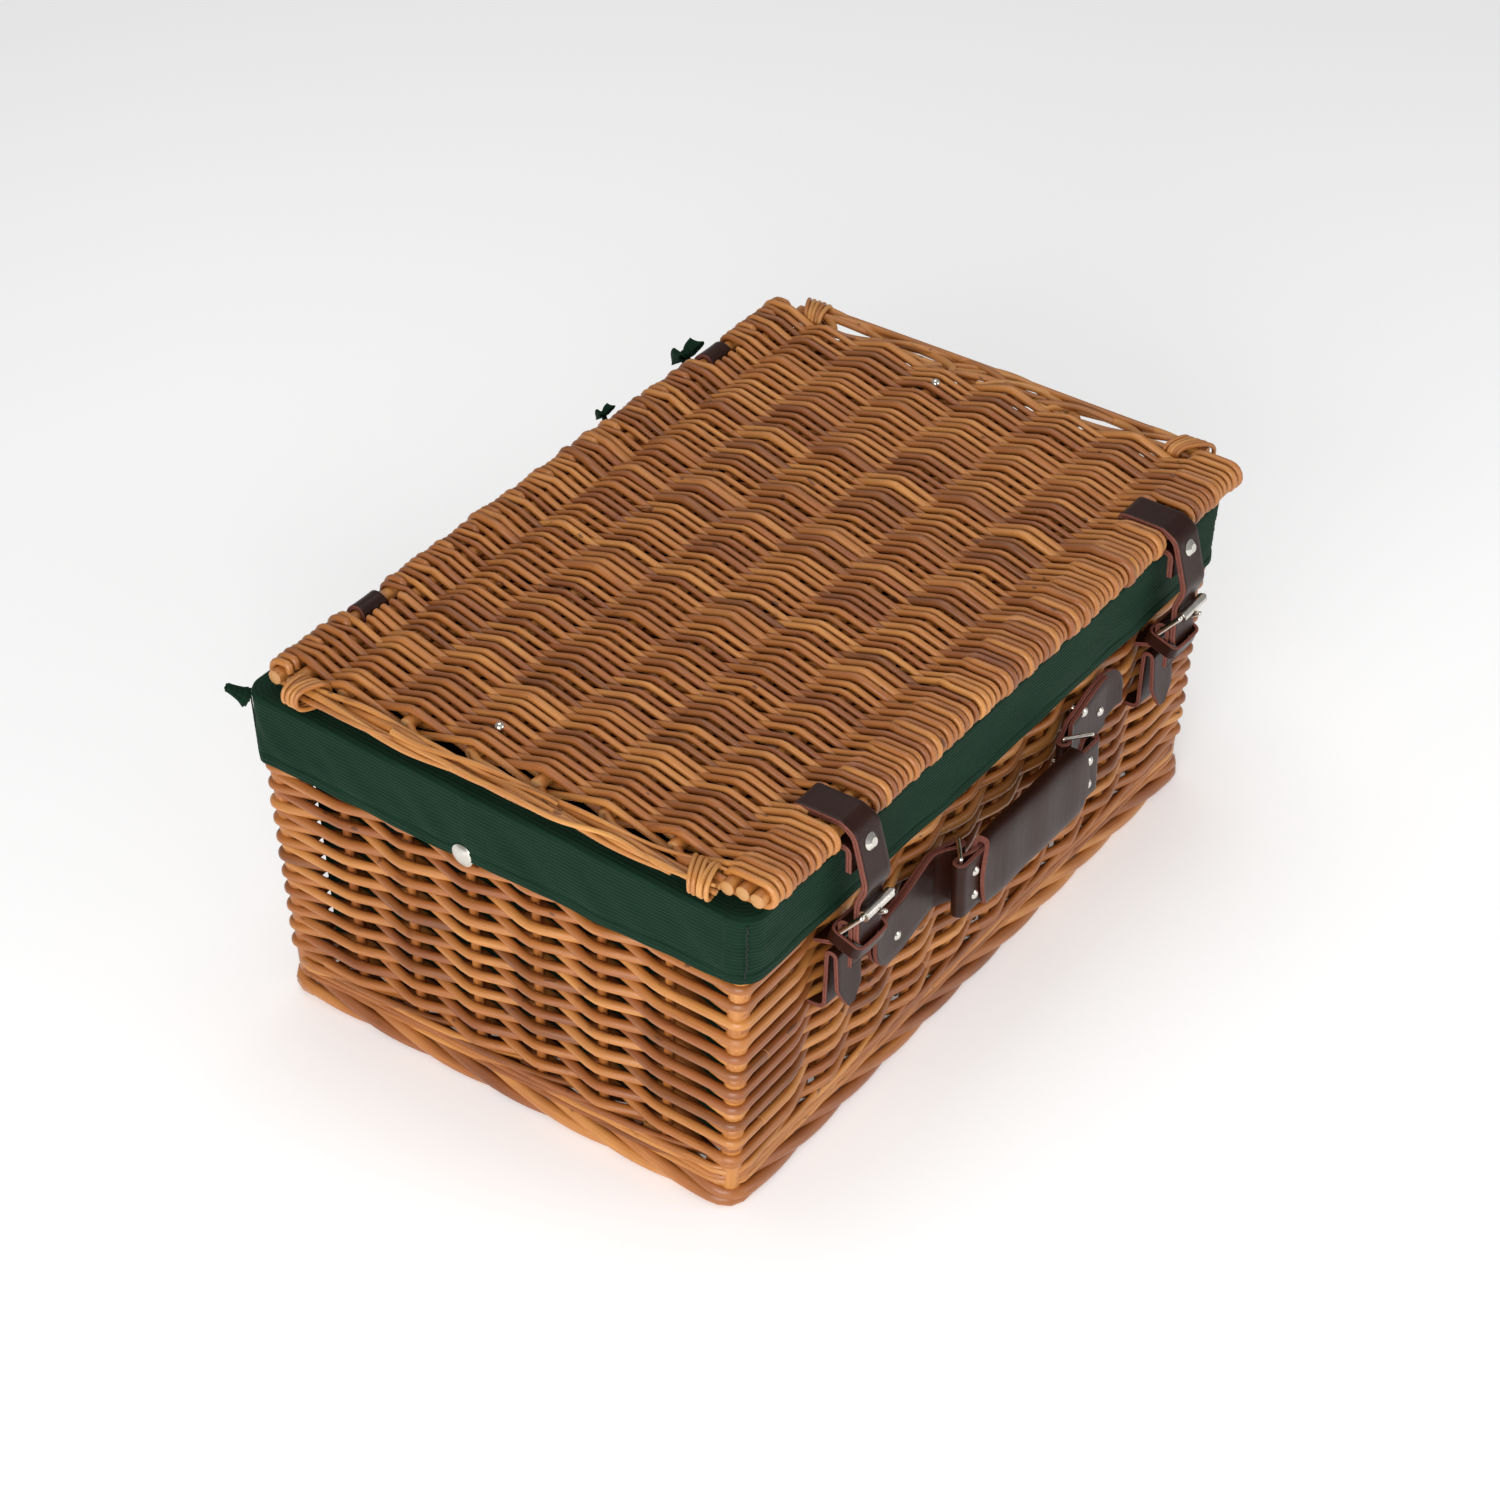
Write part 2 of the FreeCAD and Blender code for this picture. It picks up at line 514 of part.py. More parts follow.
def build_straps():
    points, radii = strap_route()
    bar = Vector(0, -BUCKLE_BAR_OUT, BUCKLE_BAR_Z)
    rise = math.radians(PRONG_RISE)
    prong_way = Vector(0, -math.cos(rise), math.sin(rise))
    hang_y = points[-1][0]
    prong_z = BUCKLE_BAR_Z + (-BUCKLE_BAR_OUT - hang_y) * math.tan(rise)
    for side, x in zip(SIDES, STRAP_X):
        strap = strap_piece(points, radii, STRAP_THICK, x, STRAP_WIDTH)
        holes = []
        for z in (prong_z - HOLE_PITCH, prong_z, prong_z + HOLE_PITCH):
            for dz in (-1.6, 0, 1.6):
                holes.append(rod(Vector(x, hang_y - 6, z + dz), Vector(x, hang_y + 6, z + dz), HOLE))
        above = Vector(0, points[5][0], points[5][1])
        below = Vector(0, points[6][0], points[6][1])
        cap_at = (above + below) * 0.5 + Vector(x, 0, 0)
        cap_way = Vector(0, below.z - above.z, above.y - below.y).normalize()
        face = cap_at + cap_way * (STRAP_THICK / 2)
        shank = rod(face, cap_at - cap_way * 7.0, SMALL_RIVET)
        head = Part.makeCone(CAP / 2, CAP / 4, CAP / 4, face, cap_way)
        rivet = shank.fuse(head)
        nodes["strap_rivet_" + side] = rivet
        nodes["strap_" + side] = strap.cut(holes + [rivet])

        leather = build_buckle_leather(side, x)
        build_buckle(side, x, bar, prong_way)
        for name in ("weave_front", "stakes_front"):
            nodes[name] = nodes[name].cut(leather)


def build_buckle_leather(side, x):
    """Leather that holds the buckle bar, its tail loop below, and the keeper round them."""
    half = WIRE / 2 + PLAY + LEATHER / 2
    back = -BUCKLE_BAR_OUT + half
    front = -BUCKLE_BAR_OUT - half
    top = BUCKLE_BAR_Z + half
    wall_mid = -half_width(BUCKLE_BAR_Z) + WALL * 0.4
    points = [(wall_mid, top - 19.5), (back, top - 14.5), (back, top), (front, top), (front, top - 26)]
    chape = strap_piece(points, [6.0, half, half], LEATHER, x, STRAP_WIDTH)
    slot = box(x - PRONG / 2 - 1, x + PRONG / 2 + 1, front - LEATHER, back + LEATHER,
               BUCKLE_BAR_Z - 5, top + LEATHER)
    chape = chape.cut(slot)
    tail_top = BUCKLE_BAR_Z - 19.5
    tail_low = tail_top - 37.0
    near = -half_width(tail_top - 1.0) - PLAY - 0.9 - LEATHER / 2
    far = near - 5.0
    points = [(near + 11, tail_low - 0.5), (near + 1.4, tail_low + 0.2), (near, tail_top), (far, tail_top),
              (far - 1.8, tail_low)]
    tail = strap_piece(points, [4.0, 2.45, 2.45], LEATHER, x, STRAP_WIDTH)
    nodes["chape_" + side] = chape
    nodes["chape_tail_" + side] = tail

    ring_x = STRAP_WIDTH / 2 + 1.2
    ring_y = 8.9
    keeper = box(-ring_x - 2, ring_x + 2, -ring_y - 2, ring_y + 2, -4, 4)
    keeper = keeper.cut(box(-ring_x, ring_x, -ring_y, ring_y, -5, 5))
    keeper.rotate(Vector(0, 0, 0), Vector(1, 0, 0), 20)
    keeper.translate(Vector(x, -BUCKLE_BAR_OUT - 2.0, BUCKLE_BAR_Z - 8.5))
    nodes["keeper_" + side] = keeper
    return [chape, tail]


def build_buckle(side, x, bar, prong_way):
    rise = math.radians(BUCKLE_RISE)
    roller = bar + Vector(0, -math.cos(rise), math.sin(rise)) * BUCKLE_REACH
    half = BUCKLE_INSIDE / 2 + WIRE / 2
    corners = [Vector(x - half, bar.y, bar.z), Vector(x + half, bar.y, bar.z),
               Vector(x + half, roller.y, roller.z), Vector(x - half, roller.y, roller.z)]
    pieces = [rod(a, b, WIRE) for a, b in zip(corners, corners[1:] + corners[:1])]
    pieces += [Part.makeSphere(WIRE / 2, c) for c in corners]
    nodes["buckle_frame_" + side] = pieces[0].fuse(pieces[1:]).removeSplitter()

    reach = BUCKLE_INSIDE / 2 - 0.4
    tube = rod(Vector(x - reach, roller.y, roller.z), Vector(x + reach, roller.y, roller.z), ROLLER)
    hole = rod(Vector(x - reach - 1, roller.y, roller.z), Vector(x + reach + 1, roller.y, roller.z),
               WIRE + 2 * PLAY)
    nodes["buckle_roller_" + side] = tube.cut(hole)

    eye = rod(Vector(x - PRONG / 2, bar.y, bar.z), Vector(x + PRONG / 2, bar.y, bar.z), WIRE + 2 * PLAY + 2.2)
    base = Vector(x, bar.y, bar.z)
    pin = rod(base, base + prong_way * PRONG_REACH, PRONG)
    tip = Part.makeSphere(PRONG / 2, base + prong_way * PRONG_REACH)
    bore = rod(Vector(x - 3, bar.y, bar.z), Vector(x + 3, bar.y, bar.z), WIRE + 2 * PLAY)
    nodes["buckle_prong_" + side] = eye.fuse([pin, tip]).cut(bore)


# ---- handle ----
def tab_outline(way, drop):
    """Shape of a handle tab seen from the front, pulled through Y: square fold, round outer end."""
    low = HANDLE_Z - TAB_WIDTH / 2
    high = HANDLE_Z + TAB_WIDTH / 2
    fold_x = way * (TAB_BAR_X - 6)
    start_x = way * (TAB_BAR_X + 8)
    end_x = way * (TAB_BAR_X + TAB_REACH)
    radius = TAB_WIDTH / 2 - 0.5
    corners = [(fold_x, low), (start_x, low), (end_x, HANDLE_Z + drop - radius),
               (end_x, HANDLE_Z + drop + radius), (start_x, high), (fold_x, high)]
    points = [Vector(x, -200, z) for x, z in corners]
    block = Part.Face(Part.makePolygon(points + points[:1])).extrude(Vector(0, 80, 0))
    end = Part.makeCylinder(radius, 80, Vector(end_x, -200, HANDLE_Z + drop), Vector(0, 1, 0))
    return block.fuse(end)


def rivet_y(x, z, head_y, foot_y, head):
    """Domed rivet along Y, head at the front."""
    shank = rod(Vector(x, head_y, z), Vector(x, foot_y, z), SMALL_RIVET)
    dome = Part.makeSphere(head * 0.6, Vector(x, head_y + head * 0.33, z))
    dome = dome.common(box(x - head, x + head, head_y - head, head_y, z - head, z + head))
    foot = rod(Vector(x, foot_y, z), Vector(x, foot_y - 0.8, z), head)
    return shank.fuse([dome, foot]).removeSplitter()


def build_handle():
    half = LEATHER / 2
    turn = LOOP_WIRE / 2 + PLAY + half
    wall = -half_width(HANDLE_Z + TAB_WIDTH)
    back = wall - PLAY - 0.5 - half
    front = back - LEATHER - 0.1
    for side, way, drop, places in (("left", -1, TAB_END_DROP[0], TAB_RIVETS_LEFT),
                                    ("right", 1, TAB_END_DROP[1], TAB_RIVETS_RIGHT)):
        bar_y = -TAB_BAR_OUT
        path = [(TAB_BAR_X + TAB_REACH + 20, back), (TAB_BAR_X + 15, back), (TAB_BAR_X + 1, bar_y + turn),
                (TAB_BAR_X - turn, bar_y + turn), (TAB_BAR_X - turn, bar_y - turn),
                (TAB_BAR_X + 1, bar_y - turn), (TAB_BAR_X + 15, front), (TAB_BAR_X + TAB_REACH + 20, front)]
        path = [(way * u, v) for u, v in path]
        face = bent_strip(path, [8.0, 3.0, turn, turn, 3.0, 8.0], LEATHER, xy)
        band = face.extrude(Vector(0, 0, 80))
        band.translate(Vector(0, 0, HANDLE_Z - 40))
        tab = band.common(tab_outline(way, drop))
        rivets = [rivet_y(x, z, front - half, wall + 1.2, RIVET_HEAD) for x, z in places]
        nodes["handle_tab_" + side] = tab.cut(rivets)
        nodes["tab_rivets_" + side] = Part.makeCompound(rivets)
        for name in ("weave_front", "stakes_front"):
            nodes[name] = nodes[name].cut(rivets)

        reach = TAB_WIDTH / 2 + LOOP_WIRE / 2 + 0.6
        corners = [Vector(way * TAB_BAR_X, bar_y, HANDLE_Z - reach), Vector(way * TAB_BAR_X, bar_y, HANDLE_Z + reach),
                   Vector(way * GRIP_BAR_X, -GRIP_BAR_OUT, HANDLE_Z + reach),
                   Vector(way * GRIP_BAR_X, -GRIP_BAR_OUT, HANDLE_Z - reach)]
        pieces = [rod(a, b, LOOP_WIRE) for a, b in zip(corners, corners[1:] + corners[:1])]
        pieces += [Part.makeSphere(LOOP_WIRE / 2, c) for c in corners]
        nodes["handle_loop_" + side] = pieces[0].fuse(pieces[1:]).removeSplitter()

    front_y = -GRIP_BAR_OUT - turn
    back_y = front_y + LEATHER + 0.1
    fold_x = GRIP_BAR_X + turn
    bar_back = -GRIP_BAR_OUT + turn
    path = [(-28, back_y), (-GRIP_BAR_X + GRIP_SLACK + 9, back_y), (-GRIP_BAR_X + GRIP_SLACK + 1, bar_back), (-fold_x, bar_back),
            (-fold_x, front_y), (fold_x, front_y), (fold_x, bar_back), (GRIP_BAR_X - GRIP_SLACK - 1, bar_back),
            (GRIP_BAR_X - GRIP_SLACK - 9, back_y), (28, back_y)]
    face = bent_strip(path, [5.0, 2.0, turn, turn, turn, turn, 2.0, 5.0], LEATHER, xy)
    strip = face.extrude(Vector(0, 0, TAB_WIDTH))
    strip.translate(Vector(0, 0, HANDLE_Z - TAB_WIDTH / 2))
    rivets = []
    for way in (-1, 1):
        for dz in (-7.5, 7.5):
            x = way * (GRIP_BAR_X - GRIP_SLACK - 5)
            rivets.append(rivet_y(x, HANDLE_Z + dz, front_y - half, bar_back + 1.2, RIVET_HEAD))
    nodes["grip_strip"] = strip.cut(rivets)
    nodes["grip_rivets"] = Part.makeCompound(rivets)

    hollow_y = (front_y - half - PLAY, back_y + half + PLAY)
    hollow_z = TAB_WIDTH / 2 + PLAY
    skin = box(-GRIP_LENGTH / 2, GRIP_LENGTH / 2, hollow_y[0] - GRIP_SKIN, hollow_y[1] + GRIP_SKIN,
               HANDLE_Z - GRIP_HEIGHT / 2, HANDLE_Z + GRIP_HEIGHT / 2)
    long_edges = [e for e in skin.Edges if abs(e.BoundBox.XLength - GRIP_LENGTH) < 0.01]
    skin = skin.makeFillet(4.0, long_edges)
    hollow = box(-GRIP_LENGTH, GRIP_LENGTH, hollow_y[0], hollow_y[1], HANDLE_Z - hollow_z, HANDLE_Z + hollow_z)
    nodes["grip_cover"] = skin.cut(hollow)


def main():
    base_top = build_basket()
    build_lining(base_top)
    build_lid()
    build_hinges()
    build_straps()
    build_handle()

    whole = FreeCAD.BoundBox()
    for shape in nodes.values():
        whole.add(shape.BoundBox)
    shift = Vector(-(whole.XMin + whole.XMax) / 2, -(whole.YMin + whole.YMax) / 2, -whole.ZMin)
    os.makedirs("parts", exist_ok=True)
    for name, shape in nodes.items():
        shape.translate(shift)
        shape.exportStep("parts/%s.step" % name)
    print("nodes", len(nodes), "shift %.4f %.4f %.4f" % tuple(shift))
    print("size %.2f %.2f %.2f" % (whole.XLength, whole.YLength, whole.ZLength))
    for name, shape in nodes.items():
        if not shape.isValid() or shape.Volume <= 0:
            print("BAD", name, shape.isValid(), shape.Volume)


main()
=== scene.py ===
import math
import random

import bmesh
import bpy
import numpy as np
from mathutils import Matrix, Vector


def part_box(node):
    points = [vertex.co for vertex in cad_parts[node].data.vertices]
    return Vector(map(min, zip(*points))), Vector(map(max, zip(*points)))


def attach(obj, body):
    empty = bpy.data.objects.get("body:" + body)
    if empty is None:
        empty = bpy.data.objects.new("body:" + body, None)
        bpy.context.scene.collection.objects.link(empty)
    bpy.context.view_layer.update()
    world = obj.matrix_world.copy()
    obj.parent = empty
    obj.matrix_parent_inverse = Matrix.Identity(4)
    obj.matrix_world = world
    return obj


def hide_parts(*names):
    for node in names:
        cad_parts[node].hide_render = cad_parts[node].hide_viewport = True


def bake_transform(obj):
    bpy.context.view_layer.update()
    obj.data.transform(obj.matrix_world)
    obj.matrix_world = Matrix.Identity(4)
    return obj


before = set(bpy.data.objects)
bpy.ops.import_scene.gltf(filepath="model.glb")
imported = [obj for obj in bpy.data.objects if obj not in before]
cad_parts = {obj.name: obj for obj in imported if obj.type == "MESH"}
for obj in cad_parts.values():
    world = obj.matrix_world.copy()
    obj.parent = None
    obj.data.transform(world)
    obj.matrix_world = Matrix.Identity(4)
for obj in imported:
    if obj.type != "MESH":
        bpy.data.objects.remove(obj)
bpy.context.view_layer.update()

MM = 0.001
chance = random.Random(4)
noise = np.random.default_rng(4)

# ---- sizes read from the frame, in millimetres about the middle of the basket's floor ----
foot_low, foot_high = [np.array(c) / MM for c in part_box("foot_border")]
ORIGIN = np.array([(foot_low[0] + foot_high[0]) / 2, (foot_low[1] + foot_high[1]) / 2, 0.0])


def span(node, axis):
    """Low and high of a node along an axis, in millimetres about the basket's middle."""
    low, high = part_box(node)
    return low[axis] / MM - ORIGIN[axis], high[axis] / MM - ORIGIN[axis]


HALF_LENGTH = (span("rim_border", 0)[1] - span("rim_border", 0)[0]) / 2
HALF_RIM = (span("rim_border", 1)[1] - span("rim_border", 1)[0]) / 2
RIM_TOP = span("rim_border", 2)[1]
WEAVE_LOW = span("weave_left", 2)[0]
WEAVE_HIGH = span("weave_left", 2)[1]
FOOT_OUT = (span("foot_border", 0)[1] - span("foot_border", 0)[0]) / 2 - HALF_LENGTH
HALF_FLOOR = (span("foot_border", 1)[1] - span("foot_border", 1)[0]) / 2 - FOOT_OUT
LEAN = (HALF_RIM - HALF_FLOOR) / RIM_TOP
WALL = span("weave_left", 0)[1] - span("weave_left", 0)[0]
LID_FRONT, LID_BACK = span("lid_weave", 1)
LID_LOW, LID_HIGH = span("lid_weave", 2)
LID_MID = (LID_LOW + LID_HIGH) / 2
WEAVE_LEFT = span("lid_end_left", 0)[1] + 0.2
WEAVE_RIGHT = span("lid_end_right", 0)[0] - 4.7
LID_LEFT = span("lid_end_left", 0)[0]
LID_RIGHT = span("lid_end_right", 0)[1]
STICK = 4.0
HINGE_Y = LID_BACK - (LID_HIGH - LID_LOW) / 2
FRONT_STICKS = [LID_FRONT + 8.3 + 8.3 * i for i in range(3)]
SINGLE_STICKS = [LID_FRONT + 61.8 + 40.2 * i for i in range(6)]
BACK_STICKS = [HINGE_Y - 11.4, HINGE_Y]


def half_width(z):
    return HALF_FLOOR + LEAN * z


def place(points):
    """Millimetres about the basket's middle, to metres in the frame."""
    return (np.asarray(points, float) + ORIGIN) * MM


# ---- shader maths ----
class Wire:
    """A shader socket; Python's operators on it add Math nodes."""

    def __init__(self, tree, socket):
        self.tree = tree
        self.socket = socket

    def node(self, kind, settings=None, **links):
        made = self.tree.nodes.new(kind)
        for name, value in (settings or {}).items():
            if name == "stops":
                ramp = made.color_ramp
                while len(ramp.elements) > len(value):
                    ramp.elements.remove(ramp.elements[-1])
                for i, (at, colour) in enumerate(value):
                    stop = ramp.elements[i] if i < len(ramp.elements) else ramp.elements.new(at)
                    stop.position = at
                    stop.color = (*colour, 1)
            else:
                setattr(made, name, value)
        for name, value in links.items():
            socket = made.inputs[int(name[1:]) if name[0] == "i" and name[1:].isdigit() else name]
            if isinstance(value, Wire):
                self.tree.links.new(value.socket, socket)
            else:
                socket.default_value = value
        return made

    def out(self, made, name=0):
        return Wire(self.tree, made.outputs[name])

    def maths(self, operation, a, b=0.0, clamp=False):
        made = self.node("ShaderNodeMath", {"operation": operation, "use_clamp": clamp}, i0=a, i1=b)
        return self.out(made)

    def __add__(self, other):
        return self.maths("ADD", self, other)

    def __radd__(self, other):
        return self.maths("ADD", other, self)

    def __sub__(self, other):
        return self.maths("SUBTRACT", self, other)

    def __rsub__(self, other):
        return self.maths("SUBTRACT", other, self)

    def __mul__(self, other):
        return self.maths("MULTIPLY", self, other)

    def __rmul__(self, other):
        return self.maths("MULTIPLY", other, self)

    def clamp(self):
        return self.maths("ADD", self, 0.0, True)

    def sine(self):
        return self.maths("SINE", self)

    def band(self, low, high):
        """0 below low, 1 above high, smooth between."""
        made = self.node("ShaderNodeMapRange", {"interpolation_type": "SMOOTHSTEP"}, i0=self)
        made.inputs[1].default_value = low
        made.inputs[2].default_value = high
        return self.out(made)

    def mix(self, a, b):
        """Colour a where this is 0, b where it is 1."""
        made = self.node("ShaderNodeMix", {"data_type": "RGBA"}, i0=self, i6=a, i7=b)
        return self.out(made, 2)

    def stretch(self, x, y, z):
        made = self.node("ShaderNodeVectorMath", {"operation": "MULTIPLY"}, i0=self, i1=(x, y, z))
        return self.out(made)

    def cloud(self, scale, detail=3.0, rough=0.55):
        made = self.node("ShaderNodeTexNoise", None, Vector=self, Scale=scale, Detail=detail)
        made.inputs["Roughness"].default_value = rough
        return self.out(made)

    def part(self, axis):
        return self.out(self.node("ShaderNodeSeparateXYZ", None, i0=self), axis)


def colour(r, g, b):
    """Screen colour in 0-255 to the linear colour a shader takes."""
    return tuple(((c / 255 + 0.055) / 1.055) ** 2.4 if c > 10 else c / 255 / 12.92 for c in (r, g, b))


def rgba(*c):
    return (*colour(*c), 1)


def finish_of(name, rough=0.5, metal=0.0, coat=0.0, coat_rough=0.2, sheen=0.0, specular=0.5):
    """A new material, its shader and a starting wire."""
    made = bpy.data.materials.new(name)
    made.use_nodes = True
    tree = made.node_tree
    shader = tree.nodes["Principled BSDF"]
    shader.inputs["Roughness"].default_value = rough
    shader.inputs["Metallic"].default_value = metal
    shader.inputs["Coat Weight"].default_value = coat
    shader.inputs["Coat Roughness"].default_value = coat_rough
    shader.inputs["Sheen Weight"].default_value = sheen
    shader.inputs["Specular IOR Level"].default_value = specular
    return made, shader, Wire(tree, None)


def read(start, name, kind=2):
    """An attribute of the mesh: kind 2 is a number, 1 a vector."""
    return start.out(start.node("ShaderNodeAttribute", {"attribute_name": name}), kind)


def feed(start, shader, name, wire):
    start.tree.links.new(wire.socket, shader.inputs[name])


def bumps(start, shader, height, depth, strength=1.0):
    made = start.node("ShaderNodeBump", None, Height=height, Distance=depth, Strength=strength)
    feed(start, shader, "Normal", start.out(made, "Normal"))


def willow_finish(name, light, mid, dark):
    """Buff willow: fine lengthways fibres, darker bruises, a thin varnish and pale cut ends."""
    made, shader, start = finish_of(name, rough=0.42, coat=0.25, coat_rough=0.28)
    grain = read(start, "grain", 1)
    tone = read(start, "tone")
    fibres = grain.stretch(60, 1400, 1400).cloud(1.0, 4, 0.6)
    streaks = grain.stretch(18, 420, 420).cloud(1.0, 3)
    patches = grain.stretch(22, 60, 60).cloud(1.0, 3)
    bruises = grain.stretch(70, 160, 160).cloud(1.0, 2).band(0.66, 0.76)
    knots = grain.stretch(95, 230, 230).cloud(1.0, 1).band(0.735, 0.77)
    shade = (tone * 0.6 + streaks * 0.5 + patches * 0.7 + fibres * 0.2 - 0.48).clamp()
    skin = start.out(start.node("ShaderNodeValToRGB",
                                {"stops": [(0.0, colour(*dark)), (0.5, colour(*mid)), (1.0, colour(*light))]},
                                i0=shade))
    ruddy = (tone * 7.3 + 0.2).sine().band(0.35, 0.95) * 0.26
    skin = ruddy.mix(skin, rgba(138, 70, 38))
    skin = (bruises * 0.4).mix(skin, rgba(104, 52, 24))
    skin = (knots * 0.7).mix(skin, rgba(70, 38, 20))
    cut = read(start, "cut")
    skin = cut.mix(skin, rgba(184, 134, 80))
    feed(start, shader, "Base Color", skin)
    feed(start, shader, "Roughness", fibres * 0.28 + cut * 0.25 + 0.27)
    bumps(start, shader, fibres * 0.7 + streaks * 0.6 - knots * 0.5, 0.0005, 0.55)
    return made


# ---- meshes ----
def mesh_piece(name, verts, faces, body, material, attributes):
    """A piece from its points and faces; attributes are values at each point that its finish reads."""
    mesh = bpy.data.meshes.new(name)
    verts = np.asarray(verts, np.float32)
    mesh.vertices.add(len(verts))
    mesh.vertices.foreach_set("co", verts.ravel())
    sizes = np.array([len(f) for f in faces], np.int32) if not isinstance(faces, np.ndarray) else \
        np.full(len(faces), faces.shape[1], np.int32)
    flat = faces.ravel() if isinstance(faces, np.ndarray) else np.concatenate([np.asarray(f) for f in faces])
    mesh.loops.add(len(flat))
    mesh.loops.foreach_set("vertex_index", flat.astype(np.int32))
    mesh.polygons.add(len(sizes))
    mesh.polygons.foreach_set("loop_start", np.concatenate([[0], np.cumsum(sizes)[:-1]]).astype(np.int32))
    mesh.polygons.foreach_set("loop_total", sizes)
    mesh.update(calc_edges=True)
    mesh.validate()
    for key, values in attributes.items():
        values = np.asarray(values, np.float32)
        kind = "FLOAT_VECTOR" if values.ndim == 2 else "FLOAT"
        layer = mesh.attributes.new(key, kind, "POINT")
        layer.data.foreach_set("vector" if values.ndim == 2 else "value", values.ravel())
    mesh.polygons.foreach_set("use_smooth", np.ones(len(sizes), bool))
    piece = bpy.data.objects.new(name, mesh)
    bpy.context.scene.collection.objects.link(piece)
    mesh.materials.append(material)
    if body:
        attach(piece, body)
    return piece


class Rods:
    """Bent willow rods gathered into one mesh; paths are in millimetres about the basket's middle."""

    def __init__(self, sides=10):
        self.sides = sides
        self.verts = []
        self.faces = []
        self.tones = []
        self.grains = []
        self.cuts = []
        self.caps = []
        self.count = 0
        self.made = 0

    def add(self, path, radius, across, tone=None, closed=False):
        """A rod along path; across is a direction its path never runs in."""
        path = np.asarray(path, float)
        n = len(path)
        radius = np.broadcast_to(np.asarray(radius, float), (n,))
        if closed:
            run = np.roll(path, -1, 0) - np.roll(path, 1, 0)
        else:
            run = np.gradient(path, axis=0)
        run /= np.linalg.norm(run, axis=1, keepdims=True)
        across = np.broadcast_to(np.asarray(across, float), (n, 3))
        up = np.cross(across, run)
        up /= np.linalg.norm(up, axis=1, keepdims=True)
        side = np.cross(run, up)
        turn = np.arange(self.sides) * 2 * math.pi / self.sides
        ring = (side[:, None, :] * np.cos(turn)[None, :, None]
                + up[:, None, :] * np.sin(turn)[None, :, None]) * radius[:, None, None]
        skin = (path[:, None, :] + ring).reshape(-1, 3)
        steps = np.linalg.norm(np.diff(path, axis=0), axis=1)
        along = np.concatenate([[0], np.cumsum(steps)]) * MM + self.made * 0.731
        grain = np.empty((n, self.sides, 3))
        grain[..., 0] = along[:, None]
        grain[..., 1] = np.cos(turn)[None, :] * radius[:, None] * MM
        grain[..., 2] = np.sin(turn)[None, :] * radius[:, None] * MM + self.made * 0.113
        first = self.count
        spots = np.arange(n * self.sides).reshape(n, self.sides) + first
        ahead = np.roll(spots, -1, 0) if closed else spots[1:]
        here = spots if closed else spots[:-1]
        quads = np.stack([here, np.roll(here, -1, 1), np.roll(ahead, -1, 1), ahead], -1).reshape(-1, 4)
        self.faces.append(quads)
        tone = chance.random() if tone is None else tone
        self.verts.append(skin)
        self.grains.append(grain.reshape(-1, 3))
        self.tones.append(np.full(len(skin), tone))
        self.cuts.append(np.zeros(len(skin)))
        self.count += len(skin)
        if not closed:
            for end, way in ((0, -1), (n - 1, 1)):
                lip = skin[end * self.sides:(end + 1) * self.sides]
                shrunk = path[end] + (lip - path[end]) * 0.8 + way * run[end] * radius[end] * 0.12
                centre = path[end] + way * run[end] * radius[end] * 0.14
                self.verts += [lip, shrunk, centre[None]]
                base = self.count
                k = self.sides
                ring_a = np.arange(k) + base
                ring_b = ring_a + k
                mid = base + 2 * k
                skirt = np.stack([ring_a, np.roll(ring_a, -1), np.roll(ring_b, -1), ring_b], -1)
                cap = np.stack([ring_b, np.roll(ring_b, -1), np.full(k, mid), np.full(k, mid)], -1)
                if way < 0:
                    skirt = skirt[:, ::-1]
                    cap = cap[:, ::-1]
                self.faces.append(skirt)
                self.caps.append(cap[:, [0, 1, 2]] if way > 0 else cap[:, [1, 2, 3]])
                extra = 2 * k + 1
                self.grains.append(np.repeat(grain.reshape(-1, 3)[end * k:end * k + 1], extra, 0)
                                   + np.random.default_rng(base).normal(0, 0.0006, (extra, 3)))
                self.tones.append(np.full(extra, tone))
                self.cuts.append(np.concatenate([np.full(k, 0.3), np.ones(k + 1)]))
                self.count += extra
        self.made += 1

    def piece(self, name, body, material):
        faces = np.concatenate(self.faces)
        every = [*faces] + [*np.concatenate(self.caps)] if self.caps else faces
        return mesh_piece(name, place(np.concatenate(self.verts)), every, body, material,
                          {"tone": np.concatenate(self.tones), "grain": np.concatenate(self.grains),
                           "cut": np.concatenate(self.cuts)})


def wander(n, size, waves=3):
    """A slow random wave with n samples."""
    t = np.linspace(0, 1, n)
    total = np.zeros(n)
    for i in range(1, waves + 1):
        total += noise.normal(0, 1) * np.sin(math.tau * (i * t * noise.uniform(0.6, 1.3) + noise.random())) / i
    return total * size


def bent_wave(phase, keen=0.96):
    """Height of a weaver: +1 over a stick, -1 under the next, nearly straight between."""
    return np.arcsin(keen * np.cos(math.pi * phase)) / math.asin(keen)


willow = willow_finish("willow_buff", (210, 145, 73), (163, 97, 41), (95, 48, 18))
willow_pale = willow_finish("willow_pale", (214, 155, 82), (174, 109, 50), (110, 61, 26))


# ---- the lid ----
def stick_phase(y, sticks):
    """Position across the sticks, counted in sticks, so that each whole number is over a stick."""
    return np.interp(y, sticks, np.arange(len(sticks)))


LID_STRAND_PITCH = 3.15
EDGE_WRAPS = 89


